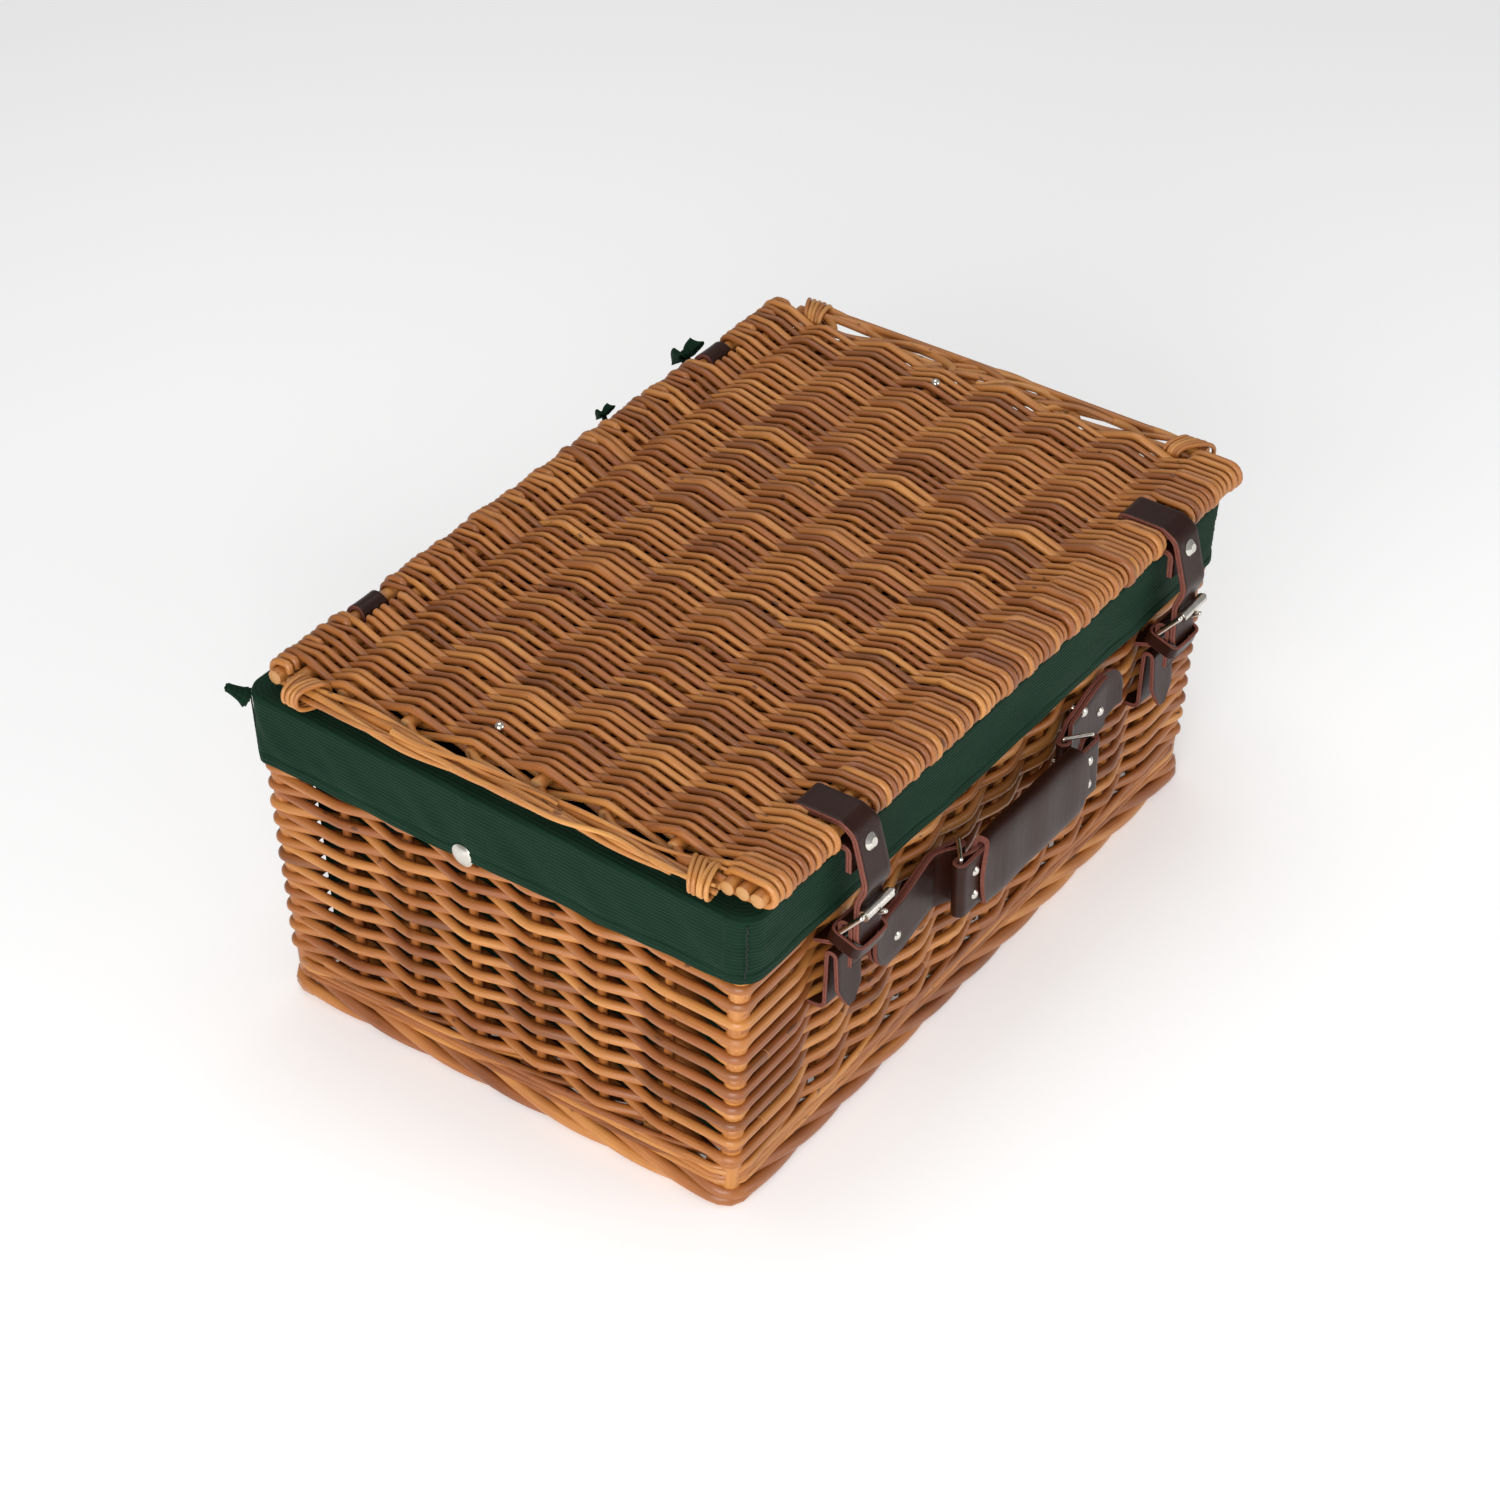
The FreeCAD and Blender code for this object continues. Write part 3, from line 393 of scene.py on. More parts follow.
def weave_lid():
    """Strands that run from front to back over and under the sticks, and the wraps that close both edges."""
    rods = Rods(10)
    body = LID_MID
    count = int((WEAVE_RIGHT - WEAVE_LEFT - 4) / LID_STRAND_PITCH)
    count -= count % 2
    group_front = FRONT_STICKS[-1]
    sticks = [group_front] + SINGLE_STICKS + [BACK_STICKS[0], BACK_STICKS[1]]
    places = WEAVE_LEFT + 2.5 + (np.arange(count) + 0.5) * (WEAVE_RIGHT - WEAVE_LEFT - 5) / count
    places += noise.normal(0, 0.42, count)
    wraps = EDGE_WRAPS
    wrap_x = WEAVE_LEFT - 5.9 + 2.2 + (np.arange(wraps) + 0.5) * (WEAVE_RIGHT - WEAVE_LEFT + 11.8 - 4.4) / wraps
    wrap_x += noise.normal(0, 0.25, wraps)
    windows = [(span("strap_left", 0)[0] - 1.6, span("strap_left", 0)[1] + 1.6),
               (span("strap_right", 0)[0] - 1.6, span("strap_right", 0)[1] + 1.6)]

    def in_window(x, slack=1.8):
        return any(a - slack < x < b + slack for a, b in windows)

    def round_edge(y_edge, outward, x, radius):
        """Half a turn round an edge stick, from above it to below it."""
        turn = np.linspace(math.pi / 2, -math.pi / 2, 9)
        reach = STICK + radius
        return np.stack([np.full(9, x), y_edge + outward * reach * np.cos(turn), body + reach * np.sin(turn)], -1)

    used_front = set()
    used_back = set()
    for j in range(count):
        x = places[j]
        parity = j % 2
        ys = np.linspace(group_front + 3.0, BACK_STICKS[0] - 2.0, 74)
        phase = stick_phase(ys, sticks)
        wave = bent_wave(phase + parity, 0.99)
        radius = noise.uniform(1.55, 2.1)
        if noise.random() < 0.12:
            radius = noise.uniform(2.25, 2.6)
        taper = np.linspace(1.06, 0.94, len(ys)) if noise.random() < 0.5 else np.linspace(0.94, 1.06, len(ys))
        xs = x + wander(len(ys), 0.34, 6) + 0.5 * np.sin(phase * math.pi + 1.2) * (1 if parity else -1)
        zs = body + wave * (STICK + radius) * (1 + wander(len(ys), 0.012))
        path = np.stack([xs, ys, zs], -1)
        radii = radius * taper
        tone = min(1.0, max(0.0, noise.normal(0.5, 0.28)))
        over_front = parity == 0
        over_back = wave[-1] > 0
        head = None
        tail = None
        if over_front:
            k = int(np.argmin(np.abs(wrap_x - x)))
            while k in used_front and k + 1 < wraps:
                k += 1
            target = wrap_x[k]
            if not in_window(x):
                used_front.add(k)
                near_y = np.linspace(FRONT_STICKS[0], group_front + 3, 8)[:-1]
                near_x = target + (x - target) * np.clip((near_y - group_front + 3) / 8, 0, 1)
                near = np.stack([near_x, near_y, np.full(7, body + STICK + radius)], -1)
                arc = round_edge(FRONT_STICKS[0], -1, target, radius)[::-1]
                under = np.stack([np.full(4, target), np.linspace(group_front + 2, FRONT_STICKS[0] + 3, 4),
                                  np.full(4, body - STICK - radius)], -1)
                head = np.concatenate([under, arc, near])
        if head is None and over_front:
            head = np.stack([np.full(5, x), np.linspace(group_front - 2.0, group_front + 2.2, 5),
                             np.linspace(path[0, 2] - 1.0, path[0, 2], 5)], -1)
        elif head is None:
            head = np.array([[x, group_front + 0.5, path[0, 2]]])
        if over_back:
            k = int(np.argmin(np.abs(wrap_x - x)))
            while k in used_back and k + 1 < wraps:
                k += 1
            target = wrap_x[k]
            if not in_window(x):
                used_back.add(k)
                far = np.stack([np.linspace(x, target, 5), np.linspace(BACK_STICKS[0] + 1, HINGE_Y, 5),
                                np.full(5, body + STICK + radius)], -1)
                arc = round_edge(HINGE_Y, 1, target, radius)[1:]
                under = np.array([[target, HINGE_Y - 4, body - STICK - radius],
                                  [target, BACK_STICKS[0] + 3, body - STICK - radius + 1]])
                tail = np.concatenate([far, arc, under])
        if tail is None:
            tail = np.array([[x, BACK_STICKS[0] + 1.5, path[-1, 2]]])
        full = np.concatenate([head, path, tail])
        radii = np.concatenate([np.full(len(head), radii[0]), radii, np.full(len(tail), radii[-1])])
        rods.add(full, radii, (1, 0, 0), tone)
    for used, edge, inner, way in ((used_front, FRONT_STICKS[0], group_front, -1),
                                   (used_back, HINGE_Y, BACK_STICKS[1], 1)):
        for k in range(wraps):
            x = wrap_x[k]
            if k in used or in_window(x, 1.2):
                continue
            radius = noise.uniform(1.95, 2.3)
            reach = STICK + radius
            tuck = inner - way * (STICK + radius * 0.6)
            arc = round_edge(edge, way, x, radius)
            top = np.stack([np.full(6, x), np.linspace(tuck - way * 0.2, edge - way * 1.5, 6),
                            np.full(6, body + reach)], -1)
            top[0, 2] -= 4.4
            top[0, 1] += way * 0.2
            top[1, 2] -= 0.5
            low = top[::-1].copy()
            low[:, 2] = 2 * body - low[:, 2]
            loop = np.concatenate([top, arc, low])
            loop[:, 0] += np.linspace(-1, 1, len(loop)) * noise.normal(0, 0.5)
            rods.add(loop, radius, (1, 0, 0), min(1.0, max(0.0, noise.normal(0.55, 0.22))))
    piece = rods.piece("lid_weaving", "lid", willow)
    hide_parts("lid_weave")


def lid_frame():
    """Edge sticks, and slender rods that leave the weaving at each end and run along it as its border."""
    rods = Rods(12)
    for y in FRONT_STICKS + BACK_STICKS:
        stop = span("lid_sticks", 0)
        n = 26
        xs = np.linspace(stop[0] + noise.uniform(-0.6, 0.8), stop[1] + noise.uniform(-0.8, 0.6), n)
        path = np.stack([xs, np.full(n, y), LID_MID + wander(n, 0.1)], -1)
        rods.add(path, STICK - 0.05, (0, 0, 1), 0.55)
    for y in SINGLE_STICKS:
        path = np.stack([np.linspace(WEAVE_LEFT + 1, WEAVE_RIGHT - 1, 40), np.full(40, y), np.full(40, LID_MID)], -1)
        rods.add(path, STICK - 0.2, (0, 0, 1), 0.5)
    front_stop, back_stop = FRONT_STICKS[-1] + 3.0, BACK_STICKS[0] - 3.0
    pitch = SINGLE_STICKS[1] - SINGLE_STICKS[0]
    sources = [SINGLE_STICKS[0] + pitch * k for k in range(9)]
    left_wide = WEAVE_LEFT - LID_LEFT
    for i, source in enumerate(sources):
        n = 64
        ys = np.linspace(min(source + 2, back_stop), max(source - 168, front_stop), n)
        p = np.clip((source - ys) / 162.0, 0, 1)
        xs = WEAVE_LEFT - 2.4 - (left_wide - 5.0) * p ** 0.92 + wander(n, 0.3)
        if source < back_stop:
            xs += 5.5 * np.clip(1 - (source - ys) / 9.0, 0, 1) ** 1.5
        zs = LID_MID + 1.7 * np.sin(p * 9.0 + i * 2.3) + wander(n, 0.2)
        tuck = np.clip((p - 0.8) / 0.2, 0, 1) ** 1.5
        zs -= 2.4 * tuck
        xs += 4.6 * tuck
        radius = (2.45 - 1.2 * p) * noise.uniform(0.93, 1.06)
        rods.add(np.stack([xs, ys, zs], -1), radius, (0, 0, 1), noise.uniform(0.25, 0.85))
    for y0, y1, x0, x1, z in ((back_stop, -40, -2.6, -9.5, 3.0), (60, front_stop, -9.0, -3.0, 3.2),
                              (20, front_stop, -15.5, -12.0, 2.2)):
        ys = np.linspace(y0, y1, 60)
        t = np.linspace(0, 1, 60)
        xs = WEAVE_LEFT + x0 + (x1 - x0) * t + 1.6 * np.sin(t * 11 + y0)
        zs = LID_MID + z + 1.1 * np.sin(t * 17 + y1)
        rods.add(np.stack([xs, ys, zs], -1), np.linspace(1.75, 0.9, 60), (0, 0, 1), noise.uniform(0.4, 0.9))
    right_wide = LID_RIGHT - WEAVE_RIGHT
    for i, source in enumerate([SINGLE_STICKS[0] - pitch] + SINGLE_STICKS):
        n = 60
        ys = np.linspace(max(source, front_stop), min(source + 104, back_stop), n)
        p = np.clip((ys - source) / 104.0, 0, 1)
        bow = np.sin(np.clip(p * 1.05, 0, 1) * math.pi) ** 0.5
        xs = WEAVE_RIGHT - 1.0 + (right_wide - 2.2) * bow + wander(n, 0.25)
        zs = LID_MID + 1.8 * np.sin(p * 7.0 + i * 2.1)
        rods.add(np.stack([xs, ys, zs], -1), np.linspace(2.5, 1.8, n) * noise.uniform(0.94, 1.05), (0, 0, 1),
                 noise.uniform(0.3, 0.85))
    for i, source in enumerate(SINGLE_STICKS + [SINGLE_STICKS[-1] + pitch]):
        n = 50
        ys = np.linspace(min(source, back_stop), max(source - 74, front_stop), n)
        p = np.clip((source - ys) / 74.0, 0, 1)
        xs = WEAVE_RIGHT - 1.0 + (right_wide - 3.0) * p ** 0.75
        zs = LID_MID + 2.4 * np.cos(p * 6.0 + i * 1.7)
        rods.add(np.stack([xs, ys, zs], -1), np.linspace(2.2, 1.6, n), (0, 0, 1), noise.uniform(0.3, 0.85))
    for x, z in ((WEAVE_RIGHT + 2.6, -2.4), (LID_RIGHT - 3.2, 1.0)):
        ys = np.linspace(front_stop, back_stop, 70)
        bow = 1.0 - ((ys - (front_stop + back_stop) / 2) / ((back_stop - front_stop) / 2)) ** 4
        xs = x - 2.0 * (1 - bow) * (x > WEAVE_RIGHT + 5) + wander(70, 0.3)
        rods.add(np.stack([xs, ys, LID_MID + z + wander(70, 0.4)], -1), 2.1, (0, 0, 1), noise.uniform(0.3, 0.7))
    piece = rods.piece("lid_frame_rods", "lid", willow_pale)
    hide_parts("lid_sticks", "lid_end_left", "lid_end_right")


LASHING_FRONT, LASHING_BACK = -124.4, 117.5
LASHING_WRAPS = 5


def lid_ties():
    """Lashings that bind each end border to the lid's front and back sticks."""
    rods = Rods(10)
    left = (LID_LEFT + 0.4, WEAVE_LEFT + 1.5)
    right = (WEAVE_RIGHT - 1.5, LID_RIGHT - 0.4)
    for (x0, x1), y_mid, slant in ((left, LASHING_FRONT, 2.6), (left, LASHING_BACK, -1.5),
                                   (right, LASHING_FRONT, -3.0), (right, LASHING_BACK, 2.0)):
        for k in range(LASHING_WRAPS):
            n = 44
            turn = np.linspace(0, math.tau * 1.02, n) + 3.6
            half_x = (x1 - x0) / 2 - 1.1
            lean = noise.uniform(-1.0, 1.0)
            cos, sin = np.cos(turn), np.sin(turn)
            round_x = np.sign(cos) * np.abs(cos) ** 0.8
            round_z = np.sign(sin) * np.abs(sin) ** 0.75
            fan = (k - 2) * (2.9 + 0.9 * round_x)
            path = np.stack([(x0 + x1) / 2 + half_x * round_x,
                             y_mid + fan + (slant * 1.3 + lean) * round_x + wander(n, 0.12),
                             LID_MID + (5.8 + noise.normal(0, 0.25)) * round_z], -1)
            rods.add(path, noise.uniform(1.15, 1.4), (0, 1, 0), noise.uniform(0.3, 0.95))
    piece = rods.piece("lid_corner_lashings", "lid", willow_pale)
    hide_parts("lid_corner_ties")


# ---- the walls ----
POST_X = HALF_LENGTH - WALL / 2
FRONT_STAKES = 10
END_STAKES = 6
POST_NUMBERS = (0, FRONT_STAKES + 1, FRONT_STAKES + END_STAKES + 2, 2 * FRONT_STAKES + END_STAKES + 3)
WALL_ROWS = 28


def stake_ring(z):
    """Corner posts and stakes in order round the basket at height z: x, y, whether it is a post."""
    y = half_width(z) - WALL / 2
    ring = []
    corners = [(-POST_X, -y), (POST_X, -y), (POST_X, y), (-POST_X, y)]
    counts = [FRONT_STAKES, END_STAKES, FRONT_STAKES, END_STAKES]
    for i in range(4):
        a, b = np.array(corners[i]), np.array(corners[(i + 1) % 4])
        ring.append((a[0], a[1], True))
        for k in range(counts[i]):
            p = a + (b - a) * (k + 1) / (counts[i] + 1)
            ring.append((p[0], p[1], False))
    return ring


def wall_route(z, parity, offset_out, offset_in, post_out):
    """Closed path of one row: over and under the stakes, always outside the corner posts."""
    steps, keen = 7, 0.93
    ring = stake_ring(z)
    count = len(ring)
    points = []
    for i in range(count):
        x, y, post = ring[i]
        nx, ny, next_post = ring[(i + 1) % count]
        a, b = np.array([x, y]), np.array([nx, ny])
        way = (b - a) / np.linalg.norm(b - a)
        out = np.array([way[1], -way[0]])
        sign_a = 1.0 if post else (1.0 if (i + parity) % 2 == 0 else -1.0)
        sign_b = 1.0 if next_post else (1.0 if (i + 1 + parity) % 2 == 0 else -1.0)
        high_a = post_out if post else (offset_out if sign_a > 0 else offset_in)
        high_b = post_out if next_post else (offset_out if sign_b > 0 else offset_in)
        if post:
            px, py, _ = ring[(i - 1) % count]
            back = np.array([x - px, y - py])
            back /= np.linalg.norm(back)
            out_before = np.array([back[1], -back[0]])
            start = math.atan2(out_before[1], out_before[0])
            for share in (0.0, 0.17, 0.33, 0.5, 0.67, 0.83):
                angle = start + share * math.pi / 2
                points.append(a + post_out * np.array([math.cos(angle), math.sin(angle)]))
        run = np.linalg.norm(b - a)
        for k in range(steps):
            t = k / steps
            mix = 0.5 - 0.5 * bent_wave(np.array([t]), keen)[0]
            off = high_a + (high_b - high_a) * mix
            points.append(a + way * run * t + out * off)
    flat = np.array(points)
    return np.column_stack([flat, np.full(len(flat), z)])


def weave_walls():
    """Rows of weavers round all four walls, each row in three joined lengths."""
    rods = Rods(10)
    pitch = (WEAVE_HIGH - WEAVE_LOW) / WALL_ROWS
    for r in range(WALL_ROWS):
        z = WEAVE_LOW + (r + 0.5) * pitch
        radius = 2.62 + noise.normal(0, 0.1)
        parity = r % 2
        post_out = 5.5 if parity else 3.2
        route = wall_route(z, parity, 2.3 + radius, -2.3 - radius, post_out)
        n = len(route)
        sag = wander(n, 0.35, 9)
        sag = sag - np.linspace(0, 1, n) * (sag[-1] - sag[0])
        route[:, 2] += sag
        at = noise.integers(0, n)
        tone = min(1.0, max(0.0, noise.normal(0.52, 0.2)))
        stretch = n // 3
        for piece_no in range(3):
            idx = (at + piece_no * stretch + np.arange(stretch + 4)) % n
            path = route[idx]
            part = radius * np.linspace(1.06, 0.94, len(path))
            rods.add(path, part, (0, 0, 1), min(1.0, max(0.0, tone + noise.normal(0, 0.15))))
    piece = rods.piece("wall_weaving", "basket", willow)
    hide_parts("weave_front", "weave_back", "weave_left", "weave_right")


def along_wall(shares, z, out):
    """Points round the basket: shares are stake numbers, out is the distance outside the stakes."""
    ring = stake_ring(10.0)
    count = len(ring)
    result = []
    for s, height, off in zip(shares, z, out):
        i = int(math.floor(s)) % count
        t = s - math.floor(s)
        a = np.array(ring[i][:2])
        b = np.array(ring[(i + 1) % count][:2])
        prev = np.array(ring[(i - 1) % count][:2])
        after = np.array(ring[(i + 2) % count][:2])
        way = (b - a) / np.linalg.norm(b - a)
        out_way = np.array([way[1], -way[0]])
        if ring[i][2] and t < 0.25:
            back = (a - prev) / np.linalg.norm(a - prev)
            before = np.array([back[1], -back[0]])
            blend = 0.5 + 0.5 * t / 0.25
            mixed = before * (1 - blend) + out_way * blend
            out_way = mixed / np.linalg.norm(mixed) * (1 + 0.35 * (1 - t / 0.25))
        if ring[(i + 1) % count][2] and t > 0.75:
            ahead = (after - b) / np.linalg.norm(after - b)
            following = np.array([ahead[1], -ahead[0]])
            blend = 0.5 * (t - 0.75) / 0.25
            mixed = out_way * (1 - blend) + following * blend
            out_way = mixed / np.linalg.norm(mixed) * (1 + 0.35 * (t - 0.75) / 0.25)
        p = a + (b - a) * t + out_way * off
        result.append([p[0], p[1], height])
    result = np.array(result)
    result[1:-1] = (result[:-2] + result[1:-1] * 2 + result[2:]) / 4
    result[1:-1] = (result[:-2] + result[1:-1] * 2 + result[2:]) / 4
    return result


def foot_and_waling():
    """The border that the basket stands on, and three rows of waling above it."""
    count = len(stake_ring(0))
    foot = Rods(12)
    for i in range(count):
        t = np.linspace(0, 1, 26)
        s = i + 0.05 + t * 2.7
        z = np.interp(t, [0, 0.2, 0.5, 0.75, 1.0], [15.0, 12.0, 5.2, 3.9, 4.4])
        out = np.interp(t, [0, 0.15, 0.45, 0.75, 1.0], [1.0, 5.2, 7.2, 6.6, 2.0])
        z = np.convolve(np.pad(z, 3, mode="edge"), np.ones(7) / 7, "valid")
        out = np.convolve(np.pad(out, 3, mode="edge"), np.ones(7) / 7, "valid")
        radius = np.interp(t, [0, 0.5, 1], [3.5, 3.7, 3.1]) * noise.uniform(0.92, 1.02)
        foot.add(along_wall(s, z, out), radius, (0, 0, 1))
    piece = foot.piece("foot_border_rods", "basket", willow)
    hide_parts("foot_border")
    waling = Rods(10)
    for i in range(count):
        for row in range(3):
            t = np.linspace(0, 1, 22)
            s = i + row * 0.33 + t * 3.0
            z = 13.2 + row * 3.6 + t * 3.4
            out = 5.4 * np.sin(np.clip(t * 1.12 - 0.06, 0, 1) * math.pi) ** 0.5 * 1.25 - 1.0
            near_post = np.zeros(len(s))
            for c in POST_NUMBERS:
                gap = (s - c + count / 2) % count - count / 2
                near_post += 1.6 * np.exp(-gap ** 2 / 0.05)
            waling.add(along_wall(s, z, out + near_post), 1.9 * np.linspace(1.05, 0.9, 22), (0, 0, 1))
    piece = waling.piece("waling_rods", "basket", willow)
    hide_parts("waling")


def uprights():
    """Stakes, corner posts, and the twisted rods that close the rim under the cloth."""
    rods = Rods(12)
    foot = 8.0
    for (x, y, post), (tx, ty, _) in zip(stake_ring(foot), stake_ring(RIM_TOP - 4)):
        n = 20
        path = np.column_stack([np.linspace(x, tx, n), np.linspace(y, ty, n), np.linspace(foot, RIM_TOP - 3.0, n)])
        path[:, :2] += np.column_stack([wander(n, 0.25), wander(n, 0.1)])
        rods.add(path, 5.6 if post else np.linspace(2.75, 2.2, n), (1, 0.3, 0), noise.uniform(0.2, 0.8))
    piece = rods.piece("upright_stakes", "basket", willow)
    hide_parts("stakes_front", "stakes_back", "stakes_left", "stakes_right", "corner_posts")
    rim = Rods(10)
    for k in range(3):
        route = wall_route(RIM_TOP - 4.0, 0, 0.0, 0.0, 3.0)
        n = len(route)
        spin = np.arange(n) / n * math.tau * 21 + k * math.tau / 3
        x, y = route[:, 0], route[:, 1]
        at_end = np.abs(x) / HALF_LENGTH > np.abs(y) / HALF_RIM
        out = np.where(at_end[:, None], np.column_stack([np.sign(x), 0 * x]), np.column_stack([0 * x, np.sign(y)]))
        route[:, :2] += out * (4.6 * np.cos(spin))[:, None]
        route[:, 2] += 1.7 * np.sin(spin)
        rim.add(route, 2.1, (0, 0, 1), noise.uniform(0.3, 0.7), closed=True)
    piece = rim.piece("rim_rods", "basket", willow)
    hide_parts("rim_border")


def base_mat():
    """The woven floor seen from underneath."""
    rods = Rods(8)
    x0, x1 = span("base_weave", 0)
    y0, y1 = span("base_weave", 1)
    z0, z1 = span("base_weave", 2)
    low, high = span("base_sticks", 2)
    mid = (low + high) / 2
    lift = (z1 - z0) / 2 - 2.0
    stick_count, strand_pitch = 7, 4.1
    sticks = [(2 * (i + 0.5) / stick_count - 1) * (y1 - y0) / 2 + (y0 + y1) / 2 for i in range(stick_count)]
    count = int((x1 - x0) / strand_pitch)
    for j in range(count):
        x = x0 + (j + 0.5) * (x1 - x0) / count
        ys = np.linspace(y0 + 2, y1 - 2, 58)
        pitch = sticks[1] - sticks[0]
        phase = (ys - sticks[0]) / pitch + j % 2
        zs = mid + bent_wave(phase) * lift
        path = np.stack([x + wander(58, 0.2), ys, zs], -1)
        rods.add(path, noise.uniform(1.85, 2.0), (1, 0, 0))
    for y in sticks:
        path = np.column_stack([np.linspace(x0 + 1, x1 - 1, 30), y + wander(30, 0.3), np.full(30, mid)])
        rods.add(path, (high - low) / 2 - 0.1, (0, 0, 1), noise.uniform(0.3, 0.8))
    piece = rods.piece("base_weaving", "basket", willow)
    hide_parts("base_weave", "base_sticks")


# ---- finishes of the leather, cloth and metal ----
def object_grain(start):
    """Coordinates in metres on a piece that has no grain of its own."""
    return start.out(start.node("ShaderNodeTexCoord"), "Object")


def leather_finish(name):
    """Dark brown hide, satin on its faces, raw and reddish on its cut edges, two plies glued together."""
    made, shader, start = finish_of(name, rough=0.35, coat=0.07, coat_rough=0.25, specular=0.2)
    grain = read(start, "grain", 1)
    edge = read(start, "edge")
    ply = read(start, "ply")
    pores = grain.cloud(1500, 3, 0.6)
    creases = grain.stretch(260, 110, 260).cloud(1.0, 4, 0.65)
    clouds = grain.cloud(45, 3)
    hair = grain.stretch(500, 2600, 2600).cloud(1.0, 3)
    face = (clouds * 0.9 + creases * 0.5 - 0.25).clamp().mix(rgba(27, 9, 5), rgba(54, 25, 16))
    rub = (edge.band(0.05, 0.3) * creases.band(0.35, 0.7)) * 0.35
    face = rub.mix(face, rgba(100, 66, 58))
    raw = (hair * 1.3 - 0.2).clamp().mix(rgba(92, 46, 38), rgba(150, 92, 78))
    raw = (ply * 0.85).mix(raw, rgba(52, 28, 25))
    cut = edge.band(0.45, 0.62)
    feed(start, shader, "Base Color", cut.mix(face, raw))
    feed(start, shader, "Roughness", pores * 0.16 + creases * 0.16 + cut * 0.35 + 0.2)
    bumps(start, shader, pores * 0.35 + creases * 0.75 + cut * (hair * 0.9), 0.0004, 0.6)
    return made


def nickel_finish(name):
    made, shader, start = finish_of(name, rough=0.2, metal=1.0)
    spot = object_grain(start)
    dull = spot.cloud(260, 4, 0.6)
    scratch = spot.stretch(500, 3000, 3000).cloud(1.0, 3)
    feed(start, shader, "Base Color", (dull * 1.2 - 0.1).clamp().mix(rgba(196, 190, 180), rgba(232, 228, 220)))
    feed(start, shader, "Roughness", dull * 0.18 + scratch * 0.1 + 0.06)
    bumps(start, shader, scratch, 0.00008, 0.4)
    return made


def cloth_finish(name):
    """Bottle green cotton with fine ribs along it; weft runs round the basket, warp up its wall."""
    made, shader, start = finish_of(name, rough=0.85, sheen=0.1, specular=0.16)
    shader.inputs["Sheen Roughness"].default_value = 0.5
    shader.inputs["Sheen Tint"].default_value = rgba(120, 170, 140)
    weave = read(start, "weave", 1)
    ribs = ((weave.part(1) + weave.part(0) * 0.05) * (math.tau / 0.0023)).sine() * 0.5 + 0.5
    cross = (weave.part(0) * (math.tau / 0.0008)).sine() * 0.5 + 0.5
    slub = weave.stretch(160, 1500, 1).cloud(1.0, 3)
    worn = weave.stretch(18, 26, 1).cloud(1.0, 3)
    shade = (slub * 0.45 + worn * 0.5 + ribs * 0.4 - 0.25).clamp()
    skin = shade.mix(rgba(3, 25, 15), rgba(11, 50, 31))
    stitch_line = read(start, "stitch")
    dash = (weave.part(0) * (math.tau / 0.0034)).sine().band(-0.25, 0.1)
    thread = stitch_line.band(0.55, 0.8) * dash
    skin = (thread * 0.7).mix(skin, rgba(22, 52, 38))
    feed(start, shader, "Base Color", skin)
    feed(start, shader, "Roughness", slub * 0.2 + 0.72)
    bumps(start, shader, ribs * 0.9 + cross * 0.18 + slub * 0.5 + thread * 1.6 - stitch_line * 0.9, 0.0005, 0.55)
    return made


def thread_finish(name):
    made, shader, start = finish_of(name, rough=0.7, sheen=0.1, specular=0.2)
    twist = read(start, "grain", 1).stretch(2600, 900, 900).cloud(1.0, 2)
    feed(start, shader, "Base Color", twist.mix(rgba(6, 14, 10), rgba(18, 40, 30)))
    bumps(start, shader, twist, 0.0002, 0.5)
    return made


leather = leather_finish("bridle_leather")
nickel = nickel_finish("nickel_plate")
cotton = cloth_finish("green_cotton")
seam_thread = thread_finish("seam_thread")


# ---- leather ----
def rounded(points, radii, step=0.9):
    """Straight runs joined by arcs of the given radii, in even steps."""
    points = [np.array(p, float) for p in points]
    line = [points[0]]
    for before, corner, after, radius in zip(points, points[1:], points[2:], radii):
        a = (before - corner) / np.linalg.norm(before - corner)
        b = (after - corner) / np.linalg.norm(after - corner)
        half = math.acos(max(-1.0, min(1.0, float(a @ b)))) / 2
        middle = (a + b) / np.linalg.norm(a + b)
        centre = corner + middle * radius / math.sin(half)
        first = corner + a * radius / math.tan(half) - centre
        last = corner + b * radius / math.tan(half) - centre
        turn = math.pi - 2 * half
        for t in np.linspace(0, 1, max(4, int(turn * radius / 0.4))):
            line.append(centre + (first * math.sin((1 - t) * turn) + last * math.sin(t * turn)) / math.sin(turn))
    line.append(points[-1])
    return even(np.array(line), step)


def even(line, step):
    """The same line in even steps."""
    run = np.concatenate([[0], np.cumsum(np.linalg.norm(np.diff(line, axis=0), axis=1))])
    keep = np.concatenate([[True], np.diff(run) > 1e-6])
    count = max(3, int(run[-1] / step) + 1)
    at = np.linspace(0, run[-1], count)
    return np.column_stack([np.interp(at, run[keep], line[keep, i]) for i in range(line.shape[1])])


